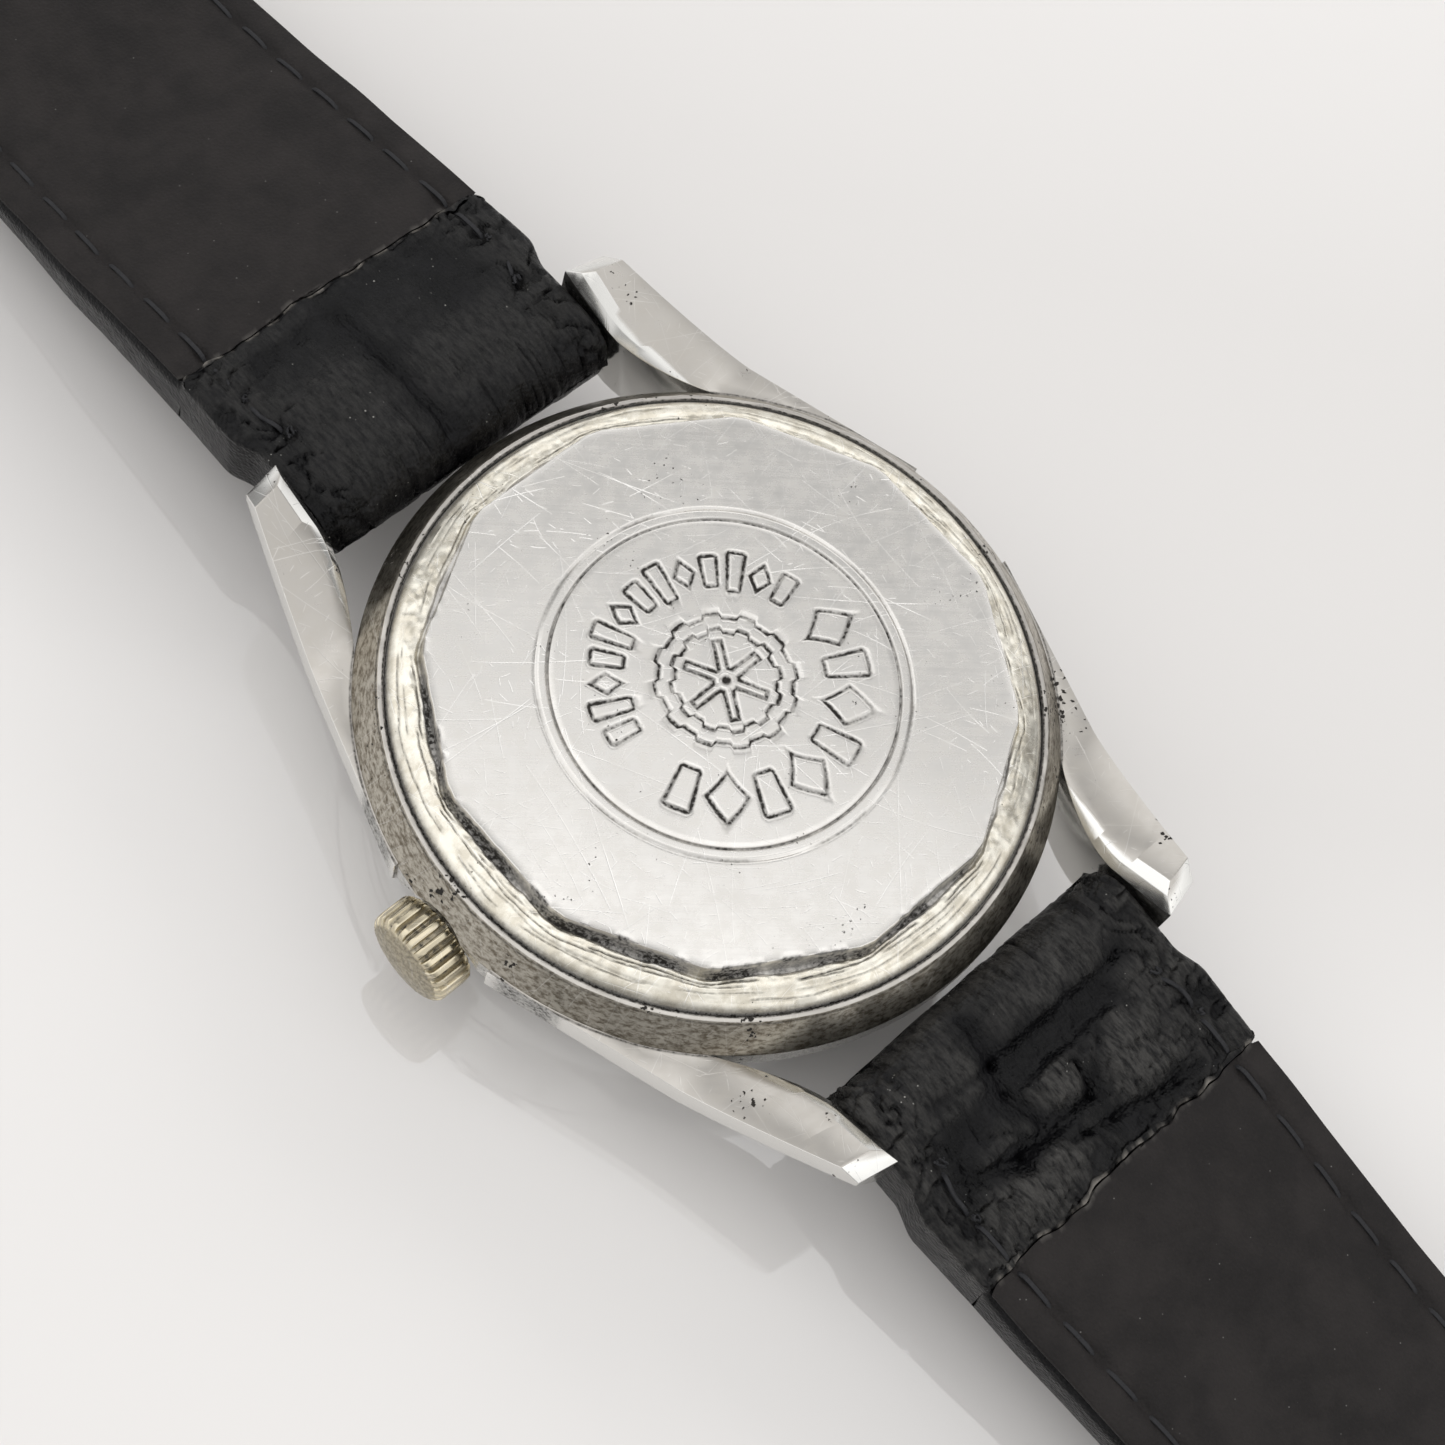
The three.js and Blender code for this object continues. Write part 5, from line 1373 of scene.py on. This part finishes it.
def keeper(name, body, node):
    """A leather loop round the strap, a band with rounded edges bent to a rounded rectangle."""
    low, high = node_box(node)
    thick = KEEPER_THICK
    outer = rounded_box((low[0], low[2]), (high[0], high[2]), 1.5, 8)
    inner_low = (low[0] + thick, low[2] + thick + 0.05)
    inner = rounded_box(inner_low, (high[0] - thick, high[2] - thick - 0.05), 0.5, 8)
    steps = np.linspace(0, 1, 15)[:-1]
    outer, inner = [
        np.concatenate([a + (b - a) * steps[:, None] for a, b in zip(line, np.roll(line, -1, axis=0))])
        for line in (outer, inner)
    ]
    half_length = (high[1] - low[1]) / 2
    middle_y = (high[1] + low[1]) / 2
    section = rounded_box((-half_length, 0), (half_length, 1), [0.1, 0.1, 0.35, 0.35], 4)
    top_run = np.linspace(half_length - 0.4, -half_length + 0.4, 22)[1:-1]
    split = 15
    top_points = np.stack([top_run, np.ones_like(top_run)], axis=1)
    section = np.vstack([section[:split], top_points, section[split:]])
    y, depth = section[None, :, 0], section[None, :, 1]
    place = inner[:, None] + (outer - inner)[:, None] * depth[..., None]
    path = np.cumsum(np.linalg.norm(np.diff(outer, axis=0, prepend=outer[:1]), axis=1))[:, None]
    out = (outer - inner) / np.linalg.norm(outer - inner, axis=1, keepdims=True)
    dent = (0.05 * crinkles(y, path, 190) + 0.03 * fractal(y, path / 1.5, 191, 3) - 0.05) * (depth > 0.98)
    place = place + out[:, None] * dent[..., None]
    along_strap = np.broadcast_to(y + middle_y, place.shape[:2])
    points = np.stack([place[..., 0], along_strap, place[..., 1]], axis=-1)
    rows, cols = points.shape[:2]
    flat_points = points.reshape(-1, 3)
    faces = outward(flat_points, grid_faces(rows, cols, wrap_rows=True, wrap_cols=True))
    obj = make_object(name, flat_points, faces, LEATHER, 50)
    keep_rest(obj, flat_points * MM)
    place_on_body(obj, body, "embossed_leather", node)


keeper("leather_keeper_fixed", "strap_12_end", "fixed_keeper")
keeper("leather_keeper_sliding", "sliding_keeper", "sliding_keeper")

BUCKLE_TILT = math.radians(-15.6)


def squarish(angle):
    """A point of a circle pushed out toward a square."""
    return [math.copysign(abs(c) ** 0.7, c) for c in (math.cos(angle), math.sin(angle))]


def plate(outline, half_depth):
    """Points and faces of an outline in XY, carried along Z."""
    return loft([[(x, y, z) for x, y in outline] for z in (-half_depth, half_depth)])


def on_buckle(obj):
    """Moves a piece made about the buckle bar to its place at the end of the short half."""
    place = Matrix.Translation((0, BUCKLE_Y * MM, BUCKLE_Z * MM)) @ Matrix.Rotation(BUCKLE_TILT, 4, "X")
    obj.data.transform(place)


def buckle():
    """The frame, its tongue and its bar, each made about the bar and then moved into place."""
    outline = [
        (-9.2, -1.3), (9.2, -1.3), (10.3, 0), (10.3, 11), (9, 12.5), (-9, 12.5), (-10.3, 11), (-10.3, 0),
    ]
    outline = rounded(outline, [0.8, 0.8, 0.8, 2, 1.5, 1.5, 2, 0.8], 6)
    frame_obj = make_object("pin_buckle_frame", *plate(outline, 1), POLISHED)
    opening = rounded_box((-8.5, -3), (8.5, 10.2), [0.3, 0.3, 1.2, 1.2], 6)
    opening = make_object("opening", *plate(opening, 3), None)
    notch = block((-0.9, 9, -2), (0.9, 13, -0.15))
    combine(frame_obj, [opening, notch, drill(0.65, -9.7, 9.7)], "DIFFERENCE")
    round_edges(frame_obj, 0.4, 40, 4)
    smooth(frame_obj, 35)

    spine = [(0.95, -0.3), (3, -0.38), (7, -0.58), (10.5, -0.68), (11.9, -0.62), (12.25, -0.55)]
    half_widths, half_depths = [0.68, 0.68, 0.66, 0.62, 0.45, 0.2], [0.38, 0.34, 0.3, 0.27, 0.22, 0.12]
    sections = []
    for (y, z), wide, deep in zip(spine, half_widths, half_depths):
        ring = [squarish(angle) for angle in np.radians(np.arange(20) * 18)]
        sections.append([(wide * a, y, z + deep * b) for a, b in ring])
    points, faces = loft(sections)
    tongue_obj = make_object("pin_buckle_tongue", points, faces, POLISHED)
    eye_profile = rounded([(0.7, -0.8), (1.25, -0.8), (1.25, 0.8), (0.7, 0.8)], 0.12, 3)
    points, faces = turned(eye_profile, 40)
    combine(tongue_obj, [make_object("eye", along_x(points), outward(points, faces), None)], "UNION")
    smooth(tongue_obj, 35)

    bar_profile = rounded([(0, -9.6), (0.6, -9.6), (0.6, 9.6), (0, 9.6)], 0.15, 3, closed=False)
    points, faces = turned(bar_profile, 32)
    bar_obj = make_object("pin_buckle_bar", along_x(points), outward(points, faces), POLISHED)
    for obj, body, node in (
        (frame_obj, "buckle", "buckle_frame"), (tongue_obj, "tongue", "buckle_tongue"),
        (bar_obj, "buckle", "buckle_bar"),
    ):
        obj.data.materials.clear()
        obj.data.materials.append(POLISHED)
        on_buckle(obj)
        place_on_body(obj, body, "polished_steel", node)


buckle()

# ---------- camera, light, floor ----------

CAMERA_PLACE = Vector((-48.528, -23.084, 119.98)) * MM
CAMERA_AZIMUTH, CAMERA_ELEVATION, CAMERA_ROLL = -65.276, 64.637, 24.977
CAMERA_LENS = 65.63
# In metres: half the table's side, and its height just under the crystal.
TABLE_HALF, TABLE_Z = 1.5, -0.00005


def camera():
    data = bpy.data.cameras.new("camera")
    data.sensor_width = 36
    data.lens = CAMERA_LENS
    data.clip_start, data.clip_end = 0.005, 20
    obj = bpy.data.objects.new("camera", data)
    bpy.context.scene.collection.objects.link(obj)
    azimuth, elevation, roll = [math.radians(a) for a in (CAMERA_AZIMUTH, CAMERA_ELEVATION, CAMERA_ROLL)]
    level_reach = math.cos(elevation)
    back = Vector((math.sin(azimuth) * level_reach, -math.cos(azimuth) * level_reach, math.sin(elevation)))
    level = Vector((math.cos(azimuth), math.sin(azimuth), 0))
    upright = back.cross(level)
    right = math.cos(roll) * level + math.sin(roll) * upright
    up = -math.sin(roll) * level + math.cos(roll) * upright
    turn = Matrix((right, up, back)).transposed().to_4x4()
    obj.matrix_world = Matrix.Translation(CAMERA_PLACE) @ turn
    bpy.context.scene.camera = obj


def area_light(name, place, target, size, power, colour=(1, 1, 1)):
    """A rectangular light at a place in metres, turned to its target."""
    data = bpy.data.lights.new(name, "AREA")
    data.shape = "RECTANGLE"
    data.size, data.size_y = size
    data.energy = power
    data.color = colour
    obj = bpy.data.objects.new(name, data)
    obj.location = place
    obj.rotation_euler = (Vector(target) - Vector(place)).to_track_quat("-Z", "Y").to_euler()
    obj.visible_camera = False
    obj.visible_glossy = False
    bpy.context.scene.collection.objects.link(obj)


def surroundings():
    """A pale room: its brightness is the product of ramps along four directions."""
    world = bpy.data.worlds.new("room")
    bpy.context.scene.world = world
    world.use_nodes = True
    tree = world.node_tree
    background = tree.nodes["Background"]
    coordinates = tree.nodes.new("ShaderNodeTexCoord")

    def brightness_toward(direction, stops):
        """Brightness set by the cosine to a direction, with stops of (cosine, brightness)."""
        facing = tree.nodes.new("ShaderNodeVectorMath")
        facing.operation = "DOT_PRODUCT"
        facing.inputs[1].default_value = Vector(direction).normalized()
        place = tree.nodes.new("ShaderNodeMapRange")
        place.inputs["From Min"].default_value = -1
        ramp = tree.nodes.new("ShaderNodeValToRGB")
        elements = ramp.color_ramp.elements
        while len(elements) < len(stops):
            elements.new(0.5)
        for element, (cosine, value) in zip(elements, stops):
            element.position = (cosine + 1) / 2
            element.color = (value, value, value, 1)
        tree.links.new(coordinates.outputs["Generated"], facing.inputs[0])
        tree.links.new(facing.outputs["Value"], place.inputs["Value"])
        tree.links.new(place.outputs["Result"], ramp.inputs["Fac"])
        return ramp.outputs["Color"]

    sides = [
        brightness_toward(
            (0.86, 0.51, 0),
            [
                (-1, 0.95), (0.1, 0.95), (0.28, 1.1), (0.37, 1.12), (0.45, 0.34), (0.6, 0.34),
                (0.72, 1.15), (1, 0.9),
            ],
        ),
        brightness_toward((-0.62, -0.70, 0.05), [(0.7, 1.0), (0.96, 0.45)]),
        brightness_toward((0, -1, 0), [(0.1, 1.0), (0.24, 0.68), (0.5, 0.75), (0.75, 1.1)]),
        brightness_toward((0, 0, 1), [(0, 0.55), (0.22, 0.7), (0.5, 0.95), (1, 1.0)]),
    ]
    product = sides[0]
    for side in sides[1:]:
        multiply = tree.nodes.new("ShaderNodeVectorMath")
        multiply.operation = "MULTIPLY"
        tree.links.new(product, multiply.inputs[0])
        tree.links.new(side, multiply.inputs[1])
        product = multiply.outputs["Vector"]
    tree.links.new(product, background.inputs["Color"])
    background.inputs["Strength"].default_value = 1.42


def floor():
    s = Shader("pale_table", base_color=(0.72, 0.70, 0.685), roughness=0.035, specular_ior_level=0.9)
    corners = [(x * TABLE_HALF, y * TABLE_HALF, TABLE_Z) for x, y in ((-1, -1), (1, -1), (1, 1), (-1, 1))]
    mesh = bpy.data.meshes.new("table_top")
    mesh.from_pydata(corners, [], [(0, 1, 2, 3)])
    mesh.materials.append(s.material)
    obj = bpy.data.objects.new("table_top", mesh)
    bpy.context.scene.collection.objects.link(obj)


camera()
surroundings()
area_light("window", (3.3, 0.2, 2.0), (0, 0, 0), (2.6, 1.3), 25, (1.0, 0.985, 0.965))
floor()
bpy.context.scene.view_settings.view_transform = "Standard"
